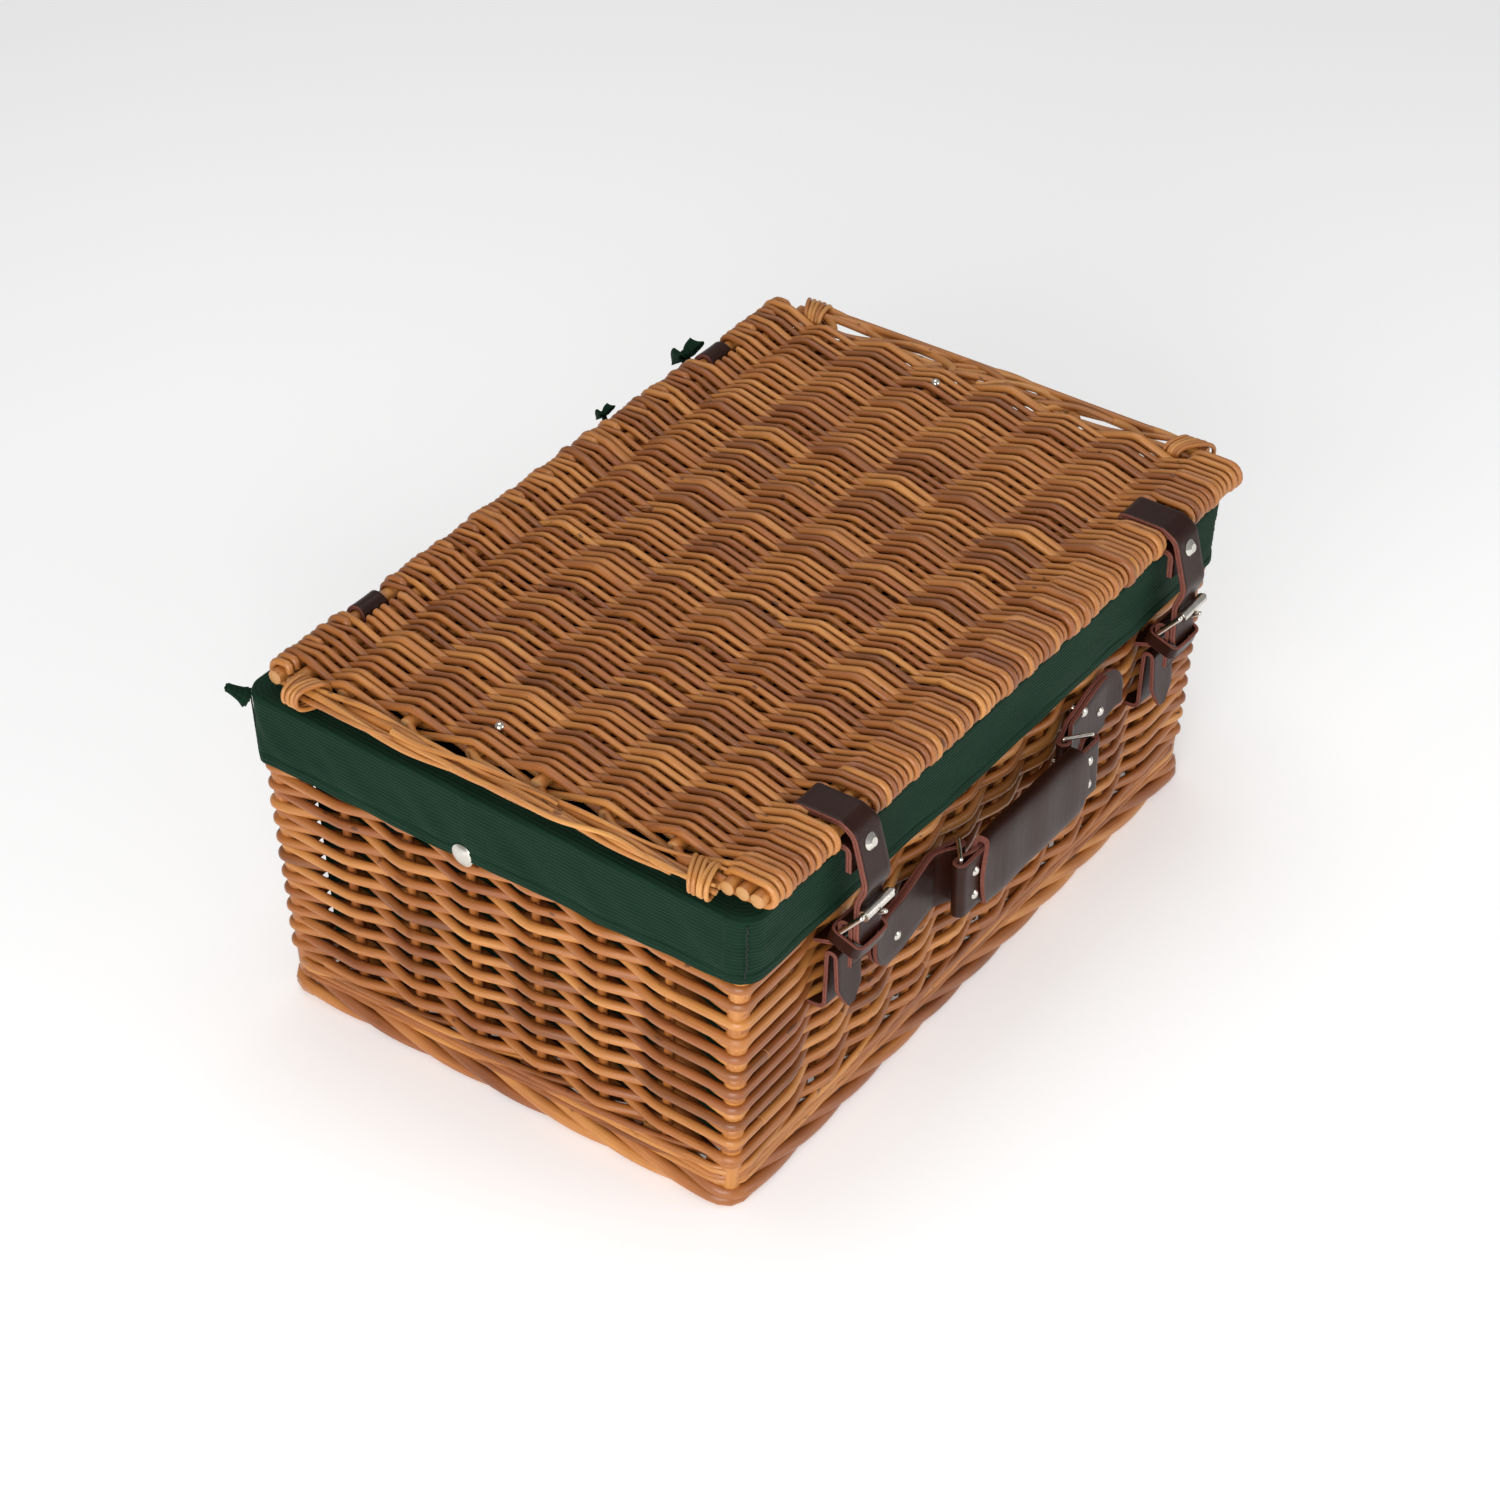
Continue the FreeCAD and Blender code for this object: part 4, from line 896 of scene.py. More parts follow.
def hide_section(plies=2):
    """Round a strip: side, inset, height, raw edge, ply line; side runs -1 to 1 across it."""
    across = np.linspace(-1, 1, 9)
    rows = [(f, 0.45 if abs(f) == 1 else 0.0, 1.0, 0.12 if abs(f) == 1 else 0.0, 0.0) for f in across]
    lip = [(1, 0.12, 0.86, 1.0, 0.0), (1, 0.0, 0.45, 1.0, 0.0), (1, 0.02, 0.14, 1.0, 0.0), (1, 0.22, 0.0, 1.0, 1.0),
           (1, 0.02, -0.14, 1.0, 0.0), (1, 0.0, -0.45, 1.0, 0.0), (1, 0.12, -0.86, 1.0, 0.0)]
    if plies == 1:
        lip = [(f, i, h, e, 0.0) for f, i, h, e, _ in lip if h]
    rows += lip
    rows += [(f, 0.45 if abs(f) == 1 else 0.0, -1.0, 0.12 if abs(f) == 1 else 0.0, 0.0) for f in across[::-1]]
    rows += [(-f, i, -h, e, p) for f, i, h, e, p in lip]
    return np.array(rows)


def hide_strip(name, body, line, lay, low, high, thick, closed=False, plies=2, uneven=0.25):
    """A leather strip: line is its middle seen edge-on, lay(u, v, w) puts it in space.

    low and high are its half widths, and it is a little fuller in the middle than at its edges.
    """
    camber = 0.15
    n = len(line)
    run = np.roll(line, -1, 0) - np.roll(line, 1, 0) if closed else np.gradient(line, axis=0)
    run /= np.linalg.norm(run, axis=1, keepdims=True)
    up = np.column_stack([-run[:, 1], run[:, 0]])
    low = np.broadcast_to(np.asarray(low, float), (n,)) + (0 if closed else wander(n, uneven * 0.5, 4))
    high = np.broadcast_to(np.asarray(high, float), (n,)) + (0 if closed else wander(n, uneven * 0.5, 4))
    low, high = np.maximum(low, 0.5), np.maximum(high, 0.5)
    rows = hide_section(plies)
    side, inset, height, edge, ply = rows.T
    reach = np.where(side > 0, high[:, None], low[:, None])
    across = side * reach - np.sign(side) * np.minimum(inset, reach * 0.4) * (np.abs(side) == 1)
    lift = height * thick / 2 + camber * (1 - side ** 2)
    flat = line[:, None, :] + up[:, None, :] * lift[..., None]
    verts = lay(flat[..., 0], flat[..., 1], across)
    k = len(rows)
    length = np.concatenate([[0], np.cumsum(np.linalg.norm(np.diff(line, axis=0), axis=1))])
    grain = np.stack([np.broadcast_to(length[:, None], (n, k)), across, lift * np.ones((n, k))], -1) * MM
    grain = grain + noise.random(3) * 3
    spots = np.arange(n * k).reshape(n, k)
    here, ahead = (spots, np.roll(spots, -1, 0)) if closed else (spots[:-1], spots[1:])
    faces = [*np.stack([here, ahead, np.roll(ahead, -1, 1), np.roll(here, -1, 1)], -1).reshape(-1, 4)]
    verts = [verts.reshape(-1, 3)]
    grains, edges, plies_at = [grain.reshape(-1, 3)], [np.tile(edge, n)], [np.tile(ply, n)]
    base = n * k
    if not closed:
        for end in (0, n - 1):
            ring = verts[0][end * k:(end + 1) * k]
            verts.append(ring)
            grains.append(grains[0][end * k:(end + 1) * k][:, [2, 1, 0]])
            edges.append(np.ones(k))
            plies_at.append(np.zeros(k))
            loop = np.arange(k) + base
            faces.append(loop if end else loop[::-1])
            base += k
    piece = mesh_piece(name, place(np.concatenate(verts)), faces, body, leather,
                       {"grain": np.concatenate(grains), "edge": np.concatenate(edges),
                        "ply": np.concatenate(plies_at)})
    return piece


def drill(piece, places, way, radius, length=12.0, stretch=1.0):
    """Cuts round or oval holes through a piece."""
    sides = 20
    turn = np.linspace(0, math.tau, sides, endpoint=False)
    way = np.array(way, float) / np.linalg.norm(way)
    side = np.cross(way, (0, 0, 1.0))
    side /= np.linalg.norm(side)
    up = np.cross(side, way)
    verts, faces = [], []
    for spot in places:
        ring = np.array(spot) + radius * (np.cos(turn)[:, None] * side + stretch * np.sin(turn)[:, None] * up)
        base = len(verts)
        verts += [*(ring - way * length / 2), *(ring + way * length / 2)]
        low = np.arange(sides) + base
        faces += [[low[i], low[(i + 1) % sides], low[(i + 1) % sides] + sides, low[i] + sides] for i in range(sides)]
        faces += [[*low[::-1]], [*(low + sides)]]
    mesh = bpy.data.meshes.new("punch")
    mesh.from_pydata([tuple(v) for v in place(verts)], [], [[int(i) for i in f] for f in faces])
    punch = bpy.data.objects.new("punch", mesh)
    bpy.context.scene.collection.objects.link(punch)
    cut = piece.modifiers.new("cut", "BOOLEAN")
    cut.object = punch
    cut.operation = "DIFFERENCE"
    cut.solver = "EXACT"
    settled = bpy.data.meshes.new_from_object(piece.evaluated_get(bpy.context.evaluated_depsgraph_get()))
    piece.modifiers.remove(cut)
    piece.data = settled
    bpy.data.objects.remove(punch)


def in_side(x):
    """Lays a strip seen from the side: its line in Y and Z, its width along X."""
    return lambda u, v, w: np.stack([x + w, u, v], -1)


def in_plan(z):
    """Lays a strip seen from above: its line in X and Y, its width along Z."""
    return lambda u, v, w: np.stack([u, v, z + w], -1)


HIDE = 2.5
HALF_STRAP = 10.0


def lid_straps():
    """The two closing straps, held round the lid's front sticks and hanging through the buckles."""
    edge = FRONT_STICKS[0] - STICK
    half = 1.8
    over, under = LID_MID + STICK + 2.1, LID_MID - STICK - 2.1
    inner = FRONT_STICKS[-1] + STICK + 2.1
    hang = sum(span("buckle_roller_left", 1)) / 2 + 2.8 + 0.3 + half
    points = [(edge - 4.9, under - 14.2), (edge - 4.9, under), (inner, under), (inner, over), (edge + 0.8, over),
              (edge - 7.0, LID_MID + 2.2), (edge - 11.0, LID_MID - 12.8), (edge - 14.5, LID_MID - 26.3),
              (hang, 166.0), (hang, 137.0)]
    line = rounded(points, [3, 3, 3, 6, 9, 20, 12, 10])
    run = np.concatenate([[0], np.cumsum(np.linalg.norm(np.diff(line, axis=0), axis=1))])
    to_tip = run[-1] - run
    for side in ("left", "right"):
        x = sum(span("strap_" + side, 0)) / 2
        waist = HALF_STRAP - 0.4 * np.exp(-((run - 70) / 16) ** 2)
        tip = np.sqrt(np.clip(1 - ((9.5 - to_tip) / 9.8) ** 2, 0.02, 1)) * (to_tip < 9.5) + (to_tip >= 9.5)
        wide = waist * tip
        sway = 0.35 * np.sin(run / 22 + (0 if side == "left" else 2))
        piece = hide_strip("strap_leather_" + side, None, line, in_side(x), wide + sway, wide - sway, 3.5)
        prong_z = 153.3
        drill(piece, [(x, hang, prong_z - 13), (x, hang, prong_z + 13)], (0, 1, 0), 1.7)
        drill(piece, [(x, hang, prong_z)], (0, 1, 0), 1.7, stretch=1.9)
        rivet = np.array([(a + b) / 2 for a, b in (span("strap_rivet_" + side, i) for i in range(3))])
        drill(piece, [rivet], (0, 0.966, -0.258), 1.5, length=16.0)
        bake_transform(piece)
        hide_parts("strap_" + side)


def buckle_leathers():
    """Folded chapes that hold the buckles, their hanging tails, and the keepers."""
    bar_y, bar_z = -162.0, 148.5
    back, front, top = bar_y + 3.0, bar_y - 3.0, bar_z + 3.0
    chape_line = rounded([(back + 14.6, top - 19.5), (back, top - 14.5), (back, top), (front, top),
                          (front, top - 26)],
                         [6, 3, 3], 0.7)
    near = -half_width(128.0) - 2.5
    far = near - 5.0
    for side in ("left", "right"):
        x = sum(span("chape_" + side, 0)) / 2
        turn = 0.6 if side == "left" else -0.5
        chape = hide_strip("buckle_chape_" + side, "basket", chape_line, in_side(x), HALF_STRAP, HALF_STRAP,
                           HIDE)
        drill(chape, [(x, bar_y, top - 1.0)], (0, 1, 0), 2.2, length=12.0, stretch=2.6)
        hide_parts("chape_" + side)
        tail_line = rounded([(near + 11, 91.5), (near + 1.4, 92.2), (near, 129.0), (far, 129.0), (far - 1.8, 92.0)],
                            [4, 2.45, 2.45], 0.7)
        run = np.concatenate([[0], np.cumsum(np.linalg.norm(np.diff(tail_line, axis=0), axis=1))])
        to_tip = run[-1] - run
        point = np.clip(to_tip / 15.0, 0, 1)
        low = HALF_STRAP * np.where(to_tip < 15, 0.12 + 0.88 * point ** 0.8, 1) + turn
        high = HALF_STRAP * np.where(to_tip < 9, 0.35 + 0.65 * (to_tip / 9), 1) - turn
        tail = hide_strip("chape_tails_" + side, "basket", tail_line, in_side(x), low, high, HIDE)
        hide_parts("chape_tail_" + side)
        ring = []
        for cx, cy, start in ((9.4, 7.1, 0), (-9.4, 7.1, 1), (-9.4, -4.6, 2), (9.4, -4.6, 3)):
            for t in np.linspace(0, 1, 7):
                angle = (start + t) * math.pi / 2
                ring.append((cx + 2.8 * math.cos(angle), cy + 2.8 * math.sin(angle)))
        ring = np.array(ring + ring[:1])
        ring = even(ring, 0.9)[:-1]
        lean = math.radians(20)

        def band(u, v, w, x=x):
            bow = 0.5 * np.cos(np.clip(u / 12, -1, 1) * math.pi / 2) * np.sign(v)
            y = v + bow
            return np.stack([x + u, -164.0 + y * math.cos(lean) - w * math.sin(lean),
                             140.0 + y * math.sin(lean) + w * math.cos(lean)], -1)

        keeper = hide_strip("strap_keeper_" + side, "basket", ring, band, 4.2, 4.2, 1.9, closed=True, plies=1)
        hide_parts("keeper_" + side)


def hinge_loops():
    """Leather loops round the lid's back stick, whose two ends go down through the wall."""
    foot_z = RIM_TOP - 17.0
    foot_y = half_width(foot_z) - WALL / 2
    centre = np.array([HINGE_Y, LID_MID])
    way = np.array([foot_y, foot_z]) - centre
    way /= np.linalg.norm(way)
    side_way = np.array([way[1], -way[0]])
    end = centre + way * (np.linalg.norm([foot_y - HINGE_Y, foot_z - LID_MID]) + 3.5)
    start_angle = math.atan2(way[1], way[0])
    ring = [centre + 5.6 * np.array([math.cos(start_angle + a), math.sin(start_angle + a)])
            for a in np.linspace(0.62, math.tau - 0.62, 40)]
    gap = 1.33
    keep = np.sign((ring[0] - centre) @ side_way)
    line = [end + side_way * gap * keep, centre + way * 9.0 + side_way * gap * keep] + ring \
        + [centre + way * 9.0 - side_way * gap * keep, end - side_way * gap * keep]
    line = even(np.array(line), 0.6)
    for _ in range(4):
        line[1:-1] = (line[:-2] + 2 * line[1:-1] + line[2:]) / 4
    for side, skew in (("left", 0.05), ("right", -0.04)):
        x = sum(span("hinge_loop_" + side, 0)) / 2
        top_share = np.clip((line[:, 1] - LID_MID) / 6.0, 0, 1)
        wide = HALF_STRAP - 1.6 * top_share

        def laid(u, v, w, x=x, skew=skew):
            return np.stack([x + w + (u - HINGE_Y) * skew, u, v], -1)

        piece = hide_strip("hinge_leather_" + side, "basket", line, laid, wide, wide, HIDE)
        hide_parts("hinge_loop_" + side)


def handle_leathers():
    """The tabs that hold the wire loops, and the grip between the loops."""
    handle_z = sum(span("handle_loop_left", 2)) / 2
    bar_x, bar_y, turn, reach = 50.0, -160.5, 2.85, 51.0
    for way, side, drop in ((-1, "left", -10.5), (1, "right", 11.5)):
        tip_back = bar_x + reach + 16
        tip_front = tip_back if way < 0 else bar_x + reach - 2
        points = [(tip_back, -152.9), (bar_x + 15, -152.9), (bar_x + 1, bar_y + turn), (bar_x - turn, bar_y + turn),
                  (bar_x - turn, bar_y - turn), (bar_x + 1, bar_y - turn), (bar_x + 15, -155.6), (tip_front, -155.6)]
        line = rounded(points, [8, 3, turn, turn, 3, 8], 0.8)
        is_back = np.arange(len(line)) < np.argmin(np.abs(line[:, 0] - (bar_x - turn - 1)))
        u = line[:, 0]
        share = np.clip((u - 58) / 43, 0, 1)
        shift = drop * share * share * (3 - 2 * share)
        half = 16.5 - 0.5 * share
        half = np.where(u > bar_x + reach, np.sqrt(np.clip(256 - (u - bar_x - reach) ** 2, 1.5, 256)), half)
        half = np.where(u < 56, 16.5, half)
        curl = np.clip((u - 96) / 20, 0, 1) ** 2 * (1.9 if way > 0 else 0.9)
        line[:, 1] -= curl * (1.0 if way > 0 else np.where(is_back, 0.6, 1.4))
        line[:, 0] *= way
        lay = in_plan(handle_z)
        piece = hide_strip("handle_tab_leather_" + side, "basket", line, lay, half - shift, half + shift, HIDE,
                           uneven=0.5)
        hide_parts("handle_tab_" + side)
    front_y = -170.0 - turn
    back_y = front_y + 2.7
    bar_back = -170.0 + turn
    fold_x = 62 + turn
    points = [(-28, back_y), (-50, back_y), (-58, bar_back), (-fold_x, bar_back), (-fold_x, front_y),
              (fold_x, front_y), (fold_x, bar_back), (58, bar_back), (50, back_y), (28, back_y)]
    line = rounded(points, [5, 2, turn, turn, turn, turn, 2, 5], 0.9)
    strip = hide_strip("grip_strip_leather", "handle_grip", line, in_plan(handle_z), 16.4, 16.4, HIDE)
    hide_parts("grip_strip")
    grip_sleeve(handle_z)


def grip_sleeve(handle_z):
    """Wide sleeve folded round the grip strip; its raw ends bow outwards like a shield."""
    middle_y = sum(span("grip_cover", 1)) / 2
    half_y = (span("grip_cover", 1)[1] - span("grip_cover", 1)[0]) / 2
    half_z = (span("grip_cover", 2)[1] - span("grip_cover", 2)[0]) / 2
    half_x = (span("grip_cover", 0)[1] - span("grip_cover", 0)[0]) / 2
    around, along = 72, 70
    turn = np.linspace(0, math.tau, around, endpoint=False)
    keen = 2 / 4.0

    def outline(y_reach, z_reach):
        c, s = np.cos(turn), np.sin(turn)
        return np.sign(c) * np.abs(c) ** keen * y_reach, np.sign(s) * np.abs(s) ** keen * z_reach

    outer, inner = outline(half_y - 0.1, half_z), outline(half_y - 2.6, half_z - 2.6)
    verts, edges, grains, faces = [], [], [], []
    xs = np.linspace(-1, 1, along)
    bow = wander(along, 0.25, 3)

    def shell(shape):
        rows = []
        for i, x in enumerate(xs):
            y, z = shape
            end = half_x * x * (1 - 0.13 * np.abs(z / half_z) ** 2.2 * abs(x) ** 6)
            pinch = 1 - 0.035 * math.cos(x * math.pi) ** 2
            rows.append(np.stack([end, middle_y + y * (1 + 0.04 * math.sin(x * 9)) + bow[i] * 0.4,
                                  handle_z + z * pinch + bow[i] * 0.5], -1))
        return np.array(rows)

    outside, inside = shell(outer), shell(inner)
    layers = [(outside, 0.0), (outside[[0, -1]], 1.0), (inside[[0, -1]], 1.0), (inside, 0.0)]
    starts = []
    for layer, raw in layers:
        starts.append(sum(len(v) for v in verts))
        verts.append(layer.reshape(-1, 3))
        edges.append(np.full(len(layer) * around, raw))
        grain = np.stack([layer[..., 0], np.broadcast_to(turn * 12, layer.shape[:2]), layer[..., 1] * 0], -1) * MM
        grains.append(grain.reshape(-1, 3))
    edges[0][:around] = 0.3
    edges[0][-around:] = 0.3
    for start, flip in ((starts[0], False), (starts[3], True)):
        spots = np.arange(along * around).reshape(along, around) + start
        quads = np.stack([spots[:-1], spots[1:], np.roll(spots[1:], -1, 1), np.roll(spots[:-1], -1, 1)], -1)
        faces.append((quads[..., ::-1] if flip else quads).reshape(-1, 4))
    ring = np.arange(around)
    for i in range(2):
        a = ring + starts[1] + i * around
        b = ring + starts[2] + i * around
        quads = np.stack([a, np.roll(a, -1), np.roll(b, -1), b], -1)
        faces.append(quads if i == 0 else quads[:, ::-1])
    piece = mesh_piece("grip_sleeve_leather", place(np.concatenate(verts)), np.concatenate(faces), "handle_grip",
                       leather,
                       {"grain": np.concatenate(grains), "edge": np.concatenate(edges),
                        "ply": np.zeros(sum(len(v) for v in verts))})
    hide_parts("grip_cover")


# ---- cloth ----
def round_box(half_x, half_y, radius):
    """Points and outward ways round a rectangle with rounded corners, starting at its front left."""
    per_side, per_corner = 150, 22
    spots, ways = [], []
    corners = [(-half_x, -half_y, 180), (half_x, -half_y, 270), (half_x, half_y, 0), (-half_x, half_y, 90)]
    for i, (cx, cy, start) in enumerate(corners):
        mid = np.array([cx - math.copysign(radius, cx), cy - math.copysign(radius, cy)])
        for t in np.linspace(0, 1, per_corner, endpoint=False):
            angle = math.radians(start + 90 * t)
            way = np.array([math.cos(angle), math.sin(angle)])
            spots.append(mid + radius * way)
            ways.append(way)
        nx, ny, _ = corners[(i + 1) % 4]
        angle = math.radians(start + 90)
        way = np.array([math.cos(angle), math.sin(angle)])
        next_mid = np.array([nx - math.copysign(radius, nx), ny - math.copysign(radius, ny)])
        a, b = mid + radius * way, next_mid + radius * way
        for t in np.linspace(0, 1, per_side, endpoint=False):
            spots.append(a + (b - a) * t)
            ways.append(way)
    return np.array(spots), np.array(ways)


def solid_cloth(piece, thick):
    """Gives a sheet its thickness, and settles it into the mesh."""
    made = piece.modifiers.new("thick", "SOLIDIFY")
    made.thickness = thick * MM
    made.offset = 0.0
    settled = bpy.data.meshes.new_from_object(piece.evaluated_get(bpy.context.evaluated_depsgraph_get()))
    piece.modifiers.remove(made)
    piece.data = settled


def ringed_cloth(name, rings, heights, stitch):
    """A cloth of rings round the basket; rings is rows by points by three."""
    rows, n = rings.shape[:2]
    length = np.concatenate([[0], np.cumsum(np.linalg.norm(np.diff(rings[0], axis=0), axis=1))])
    weave = np.stack([np.broadcast_to(length, (rows, n)), np.broadcast_to(np.asarray(heights)[:, None], (rows, n)),
                      np.zeros((rows, n))], -1) * MM
    spots = np.arange(rows * n).reshape(rows, n)
    faces = np.stack([spots[:-1], np.roll(spots[:-1], -1, 1), np.roll(spots[1:], -1, 1), spots[1:]], -1)
    faces = faces.reshape(-1, 4)
    marks = np.asarray(stitch, float)
    marks = (np.broadcast_to(marks[:, None], (rows, n)) if marks.ndim == 1 else marks).ravel()
    piece = mesh_piece(name, place(rings.reshape(-1, 3)), faces, "basket", cotton,
                       {"weave": weave.reshape(-1, 3), "stitch": marks})
    return piece


LAP_Y = 14.5
CUFF_MIDDLE = 170.0
HEM_SEAM = 0.16


def lining():
    """The cuff that is turned down over the rim, and the bag that hangs inside."""
    reach = 2.0
    corner = 12.5
    hem_low = span("liner_cuff", 2)[0]
    top = span("liner_cuff", 2)[1] - 0.9
    spots, ways = round_box(HALF_LENGTH + reach, half_width(CUFF_MIDDLE) + reach, corner)
    n = len(spots)
    t = np.arange(n) / n * math.tau
    hem = 2.4 + 1.1 * np.sin(t * 3 + 1) + 0.8 * np.sin(t * 11 + 2) + 0.5 * np.sin(t * 23) + 0.35 * np.sin(t * 41 + 1)
    hem -= hem.min()
    hem *= 3.2 / hem.max()
    shares = np.array([0, 0.015, 0.04, 0.08, 0.12, 0.145, 0.16, 0.175, 0.2, 0.26, 0.34, 0.42, 0.5, 0.58, 0.66, 0.74,
                       0.82, 0.9, 0.95, 1.0])
    rings, heights, marks = [], [], []
    for share in shares:
        z = hem_low + 0.6 + hem * (1 - share) + (top - 1.6 - hem_low - 0.6) * share
        lean = LEAN * (z - CUFF_MIDDLE)
        loose = math.sin(min(1.0, share * 1.2) * math.pi) ** 0.7 if share < 0.83 else 0.25
        ripple = 0.45 * np.sin(t * 17 + 2 * math.sin(share * 3)) + 0.4 * np.sin(t * 29 + share * 5) \
            + 0.3 * np.sin(t * 53 + share * 9)
        crease = np.exp(-((share - 0.42 - 0.10 * np.sin(t * 2 + 0.5)) / 0.06) ** 2)
        fold = 0.9 * crease * (0.5 + 0.5 * np.sin(t * 5 + 1))
        puff = np.clip(ripple * loose + fold * 0.55, -0.9, 0.75)
        if share <= 0.12:
            puff = puff + 0.35
        if abs(share - HEM_SEAM) < 0.02:
            puff = puff - 0.25
        past_lap = np.clip((LAP_Y - spots[:, 1]) / 2.0, 0, 1) * (ways[:, 0] < -0.95)
        push = puff + 0.75 * past_lap * np.exp(-np.clip(LAP_Y - spots[:, 1], 0, 99) / 14)
        pucker = np.exp(-((np.abs(ways[:, 0]) - np.abs(ways[:, 1])) / 0.22) ** 2)
        pucker = pucker * (np.abs(ways[:, 0] * ways[:, 1]) > 0.2)
        push = push - 0.55 * pucker * (0.6 + 0.4 * math.sin(share * 23))
        ring = spots + ways * push[:, None]
        ring[:, 1] += np.sign(ring[:, 1]) * np.clip(np.abs(ways[:, 1]), 0, 1) * lean
        rings.append(np.column_stack([ring, z]))
        heights.append(share * 42)
        row = np.full(n, 1.0 if abs(share - HEM_SEAM) < 0.004 else (0.4 if abs(share - HEM_SEAM) < 0.02 else 0.0))
        on_lap = (ways[:, 0] < -0.95) & (np.abs(np.abs(spots[:, 1] - LAP_Y + 1) - 4.0) < 1.0)
        marks.append(np.where(on_lap, 0.45, row))
    for k, (back, z) in enumerate(((0.6, top - 0.7), (1.8, top - 0.15), (4.0, top), (8.0, top - 0.1), (12.0, top),
                                   (15.5, top - 0.2), (18.2, top - 1.0), (19.4, top - 3.0), (19.6, top - 6.0))):
        ripple = 0.25 * np.sin(t * 31 + k) if k > 2 else 0 * t
        inner_spots, inner_ways = round_box(HALF_LENGTH + reach - back, half_width(top) + reach - back,
                                            max(2.0, corner - back * 0.6))
        rings.append(np.column_stack([inner_spots, z - 0.15 + ripple * 0.4]))
        heights.append(42 + back)
        marks.append(np.zeros(n))
    cuff = ringed_cloth("lining_cuff", np.array(rings), heights, np.array(marks))
    solid_cloth(cuff, 1.1)
    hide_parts("liner_cuff")

    bag_top = span("liner_bag", 2)[1] - 1.0
    bag_low = span("liner_bag", 2)[0] + 1.0
    out = -(WALL + 2.0)
    rings, heights = [], []
    levels = np.concatenate([np.linspace(bag_top, bag_low + 6, 30), [bag_low + 3.2, bag_low + 1.2, bag_low + 0.3]])
    for z in levels:
        share = (z - bag_low) / (bag_top - bag_low)
        foot = max(0.0, 1 - (z - bag_low) / 6.0)
        step_in = out - 3 * foot ** 2
        inner_spots, inner_ways = round_box(HALF_LENGTH + step_in, half_width(z) + step_in, 4.5)
        drape = math.sin(share * math.pi) ** 0.6
        wave = 1.1 * np.sin(t * 8 + 3 * share) + 1.0 * np.sin(t * 13 - 4 * share) + 0.7 * np.sin(t * 27 + 6 * share)
        inward = np.clip(1.6 + wave, 0.2, 4.5) * drape
        near_corner = np.abs(inner_ways[:, 0] * inner_ways[:, 1])[:, None] * 2
        rings.append(np.column_stack([inner_spots - inner_ways * inward[:, None] * (1 - near_corner), np.full(n, z)]))
        heights.append(bag_top - z)
    for shrink in np.linspace(0.94, 0.06, 16):
        last = rings[32][:, :2] * shrink
        lumps = 0.35 * np.sin(last[:, 0] / 23) * np.sin(last[:, 1] / 19)
        rings.append(np.column_stack([last, bag_low + 0.5 + lumps * 0.6]))
        heights.append(heights[-1] + 9)
    bag = ringed_cloth("lining_bag", np.array(rings), heights, np.zeros(len(rings)))
    inner = len(bag.data.vertices) - n
    fill_bag_floor(bag, inner, n)
    solid_cloth(bag, 1.0)
    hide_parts("liner_bag")


def fill_bag_floor(bag, first, count):
    """Closes the middle of the bag's floor with one face on its last ring."""
    work = bmesh.new()
    work.from_mesh(bag.data)
    work.verts.ensure_lookup_table()
    work.faces.new([work.verts[first + i] for i in range(count)][::-1])
    work.to_mesh(bag.data)
    work.free()


def cloth_strip(verts, faces, weave, middle, across, wide):
    """Adds a ribbon whose middle runs along points, with its width along across."""
    folds = 5
    n = len(middle)
    base = len(verts)
    for i in range(n):
        for j in range(folds):
            f = 2 * j / (folds - 1) - 1
            verts.append(tuple(middle[i] + across[i] * wide[i] * f))
            weave.append((i * 0.0009, f * wide[i] * MM, 0))
    for i in range(n - 1):
        for j in range(folds - 1):
            a = base + i * folds + j
            faces.append([a, a + 1, a + folds + 1, a + folds])


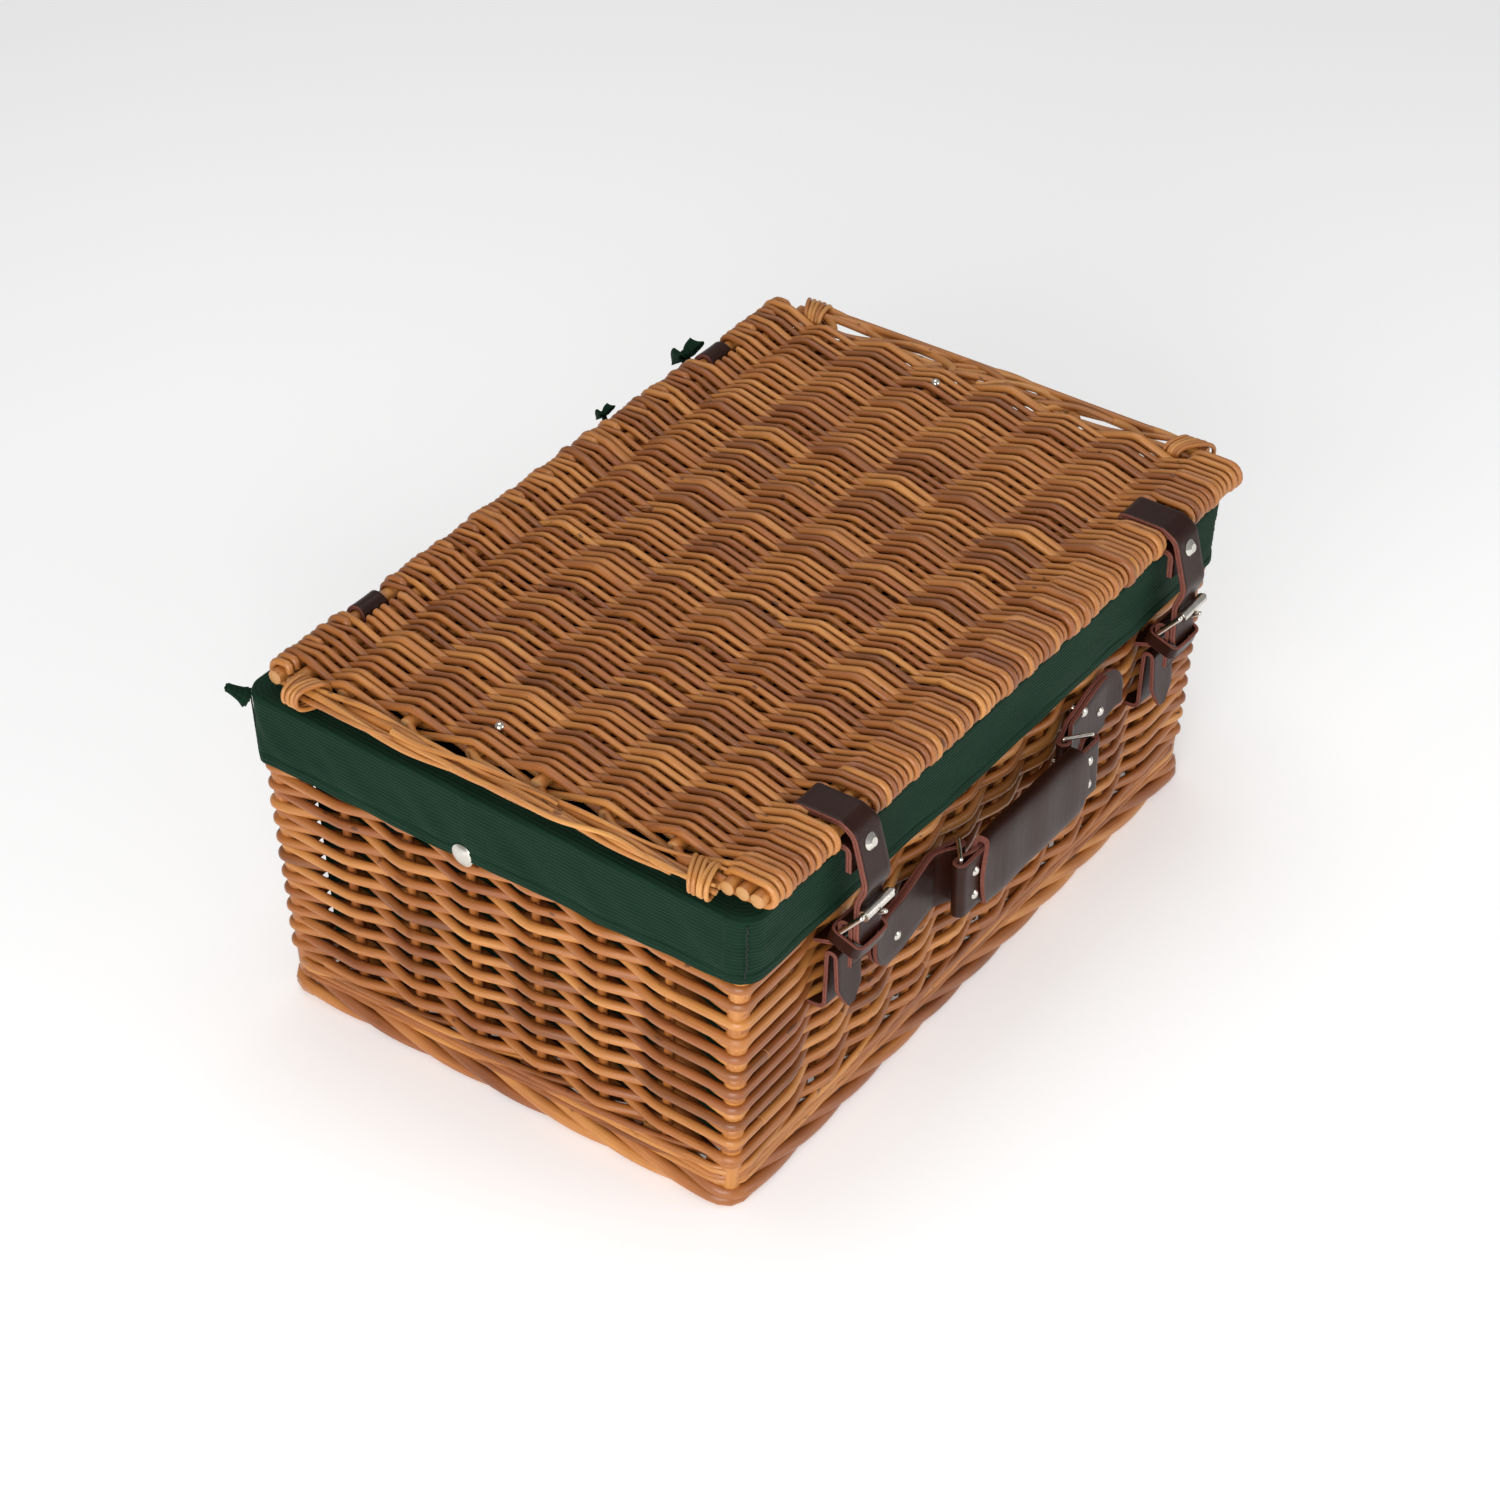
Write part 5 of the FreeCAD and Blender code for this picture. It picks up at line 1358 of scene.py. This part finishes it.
def cloth_knots():
    """A crumpled bow and a small tuft at the back, where the lining is tied, and a gathered corner."""
    for number, size in enumerate((1.3, 0.75)):
        node = "liner_tie_%d" % (number + 1)
        x = sum(span(node, 0)) / 2
        y = sum(span(node, 1)) / 2
        z0, z1 = span(node, 2)
        knot = np.array([x, y + 0.4, z1 - 12.0])
        verts, faces, weave = [], [], []
        t = np.linspace(0, 1, 30)
        for way, rise in ((-1, 0.9), (1, 0.55)):
            out = way * size * (8.6 if way > 0 else 7.2) * np.sin(t * math.pi) ** 0.8
            middle = np.column_stack([out, 0.5 * np.sin(t * 9 + way),
                                      size * (2.6 * np.sin(t * math.tau) + rise * 2.6 * np.sin(t * math.pi))])
            across = np.column_stack([0.35 * np.sin(t * 6 + way), 0.75 + 0 * t, 0.55 * np.cos(t * 5)])
            wide = size * (1.7 + 2.3 * np.sin(t * math.pi) ** 0.5 + 0.35 * np.sin(t * 21 + way))
            cloth_strip(verts, faces, weave, knot + middle, across, wide)
        for way, drop in ((-1, 1.0), (1, 0.8)):
            length = (z1 - z0 - 13.5) * drop
            middle = np.column_stack([way * size * (0.8 + 3.8 * t) + 0.7 * np.sin(t * 7 + way),
                                      0.9 * np.sin(t * 5 + way) - 0.2,
                                      -length * t])
            across = np.column_stack([1 + 0 * t, 0.35 * np.sin(t * 8), 0.15 * np.cos(t * 6)])
            cloth_strip(verts, faces, weave, knot + middle, across, size * (1.6 + 2.2 * t ** 0.7))
        rings, sides, base = 11, 18, len(verts)
        for i in range(rings):
            for j in range(sides):
                a, b = (i + 0.4) / (rings - 0.2) * math.pi, j / sides * math.tau
                bulge = 1 + 0.16 * math.sin(4 * b + 2 * a) + 0.1 * math.sin(7 * a)
                verts.append((knot[0] + size * 2.3 * math.sin(a) * math.cos(b) * bulge,
                              knot[1] + size * 2.0 * math.sin(a) * math.sin(b) * bulge,
                              knot[2] + size * 2.5 * math.cos(a)))
                weave.append((b * 0.003, a * 0.003, 0))
        for i in range(rings - 1):
            for j in range(sides):
                a = base + i * sides
                faces.append([a + j, a + (j + 1) % sides, a + sides + (j + 1) % sides, a + sides + j])
        finish_cloth_piece("lining_bow_%d" % (number + 1), verts, faces, weave, node)
    verts, faces, weave = [], [], []
    root = np.array([-HALF_LENGTH - 0.5, half_width(188.0) + 0.5, 187.5])
    tip = np.array([-HALF_LENGTH - 7.4, half_width(188.0) + 6.6, 195.5])
    way = (tip - root) / np.linalg.norm(tip - root)
    side = np.array([0.7071, 0.7071, 0])
    up = np.cross(way, side)
    rings, sides = 12, 26
    for i in range(rings):
        t = i / (rings - 1)
        for j in range(sides):
            b = j / sides * math.tau
            fold = 1 + 0.3 * t * math.sin(5 * b + 2 * t) + 0.12 * math.sin(9 * b)
            radius = (4.6 * (1 - t) ** 1.3 + 1.0 + 0.9 * t * t) * fold
            spot = root + (tip - root) * t + radius * (math.cos(b) * side * 1.1 + math.sin(b) * up * 0.75)
            verts.append(tuple(spot))
            weave.append((b * 0.003, t * 0.01, 0))
    for i in range(rings - 1):
        for j in range(sides):
            a = i * sides
            faces.append([a + j, a + (j + 1) % sides, a + sides + (j + 1) % sides, a + sides + j])
    finish_cloth_piece("lining_corner_gather", verts, faces, weave, None)


def finish_cloth_piece(name, verts, faces, weave, node):
    """A gathered piece whose flat size is its own area; node is the solid it stands for, if any."""
    piece = mesh_piece(name, place(verts), np.array(faces), "basket", cotton,
                       {"weave": np.array(weave), "stitch": np.zeros(len(verts))})
    solid_cloth(piece, 0.6)
    if node:
        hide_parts(node)


def corner_seams():
    """Dark thread that closes the lining at its corners, a little crooked."""
    thread = Rods(6)
    low, high = span("liner_cuff", 2)
    for sx, sy in ((-1, -1), (1, -1), (1, 1), (-1, 1)):
        n = 60
        z = np.linspace(low + 4, high - 4, n)
        jog = 0.55 * np.sign(np.sin(np.arange(n) * 1.1)) * 0.5 + wander(n, 0.5, 3)
        bulge = 3.66 - 0.55
        x = sx * (HALF_LENGTH + 2.0 - bulge) - sx * jog * 0.7
        y = sy * (half_width(z) + 2.0 - bulge) + sy * jog * 0.7
        thread.add(np.column_stack([x, y, z]), 0.42, (sx, sy, 0), 0.5)
    piece = thread.piece("lining_corner_thread", "basket", seam_thread)


def metal():
    """Nickel on every rivet, buckle, wire loop and snap."""
    for node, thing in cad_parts.items():
        if any(word in node for word in ("rivet", "buckle", "handle_loop", "snap")):
            thing.data.materials.clear()
            thing.data.materials.append(nickel)


def camera_and_light():
    scene = bpy.context.scene
    turn, rise = math.radians(-54.382), math.radians(37.857)
    aim = Vector(place([-21.3, -13.4, 105.8]))
    back = Vector((math.sin(turn) * math.cos(rise), -math.cos(turn) * math.cos(rise), math.sin(rise)))
    camera = bpy.data.objects.new("camera", bpy.data.cameras.new("camera"))
    scene.collection.objects.link(camera)
    camera.location = aim + back * 1.8543
    camera.rotation_euler = back.to_track_quat("Z", "Y").to_euler()
    camera.data.lens = 84.9
    camera.data.sensor_width = 36.0
    camera.data.clip_end = 50.0
    scene.camera = camera

    world = bpy.data.worlds.new("studio")
    scene.world = world
    world.use_nodes = True
    world.node_tree.nodes["Background"].inputs["Color"].default_value = (1, 1, 1, 1)
    world.node_tree.nodes["Background"].inputs["Strength"].default_value = 0.36
    for name, spot, size, power in (("overhead", (0.2, 0.3, 1.7), 1.2, 7.2),
                                    ("left_fill", (-1.6, -0.6, 0.7), 1.2, 26.0),
                                    ("front_fill", (0.5, -1.7, 0.7), 1.2, 9.0)):
        lamp = bpy.data.objects.new(name, bpy.data.lights.new(name, "AREA"))
        lamp.data.size = size
        lamp.data.energy = power
        lamp.location = spot
        lamp.rotation_euler = (Vector(spot) - Vector((0, 0, 0.1))).to_track_quat("Z", "Y").to_euler()
        scene.collection.objects.link(lamp)
    scene.view_settings.view_transform = "Standard"
    mesh = bpy.data.meshes.new("floor")
    mesh.from_pydata([(-6, -6, 0), (6, -6, 0), (6, 6, 0), (-6, 6, 0)], [], [(0, 1, 2, 3)])
    floor = bpy.data.objects.new("floor", mesh)
    scene.collection.objects.link(floor)
    pale, shader, start = finish_of("pale_floor", rough=0.9, specular=0.1)
    shader.inputs["Base Color"].default_value = (0.93, 0.93, 0.93, 1)
    shader.inputs["Emission Color"].default_value = (1, 1, 1, 1)
    shader.inputs["Emission Strength"].default_value = 0.22
    mesh.materials.append(pale)


camera_and_light()
weave_lid()
lid_frame()
lid_ties()
weave_walls()
foot_and_waling()
uprights()
base_mat()
lid_straps()
buckle_leathers()
hinge_loops()
handle_leathers()
lining()
cloth_knots()
corner_seams()
metal()
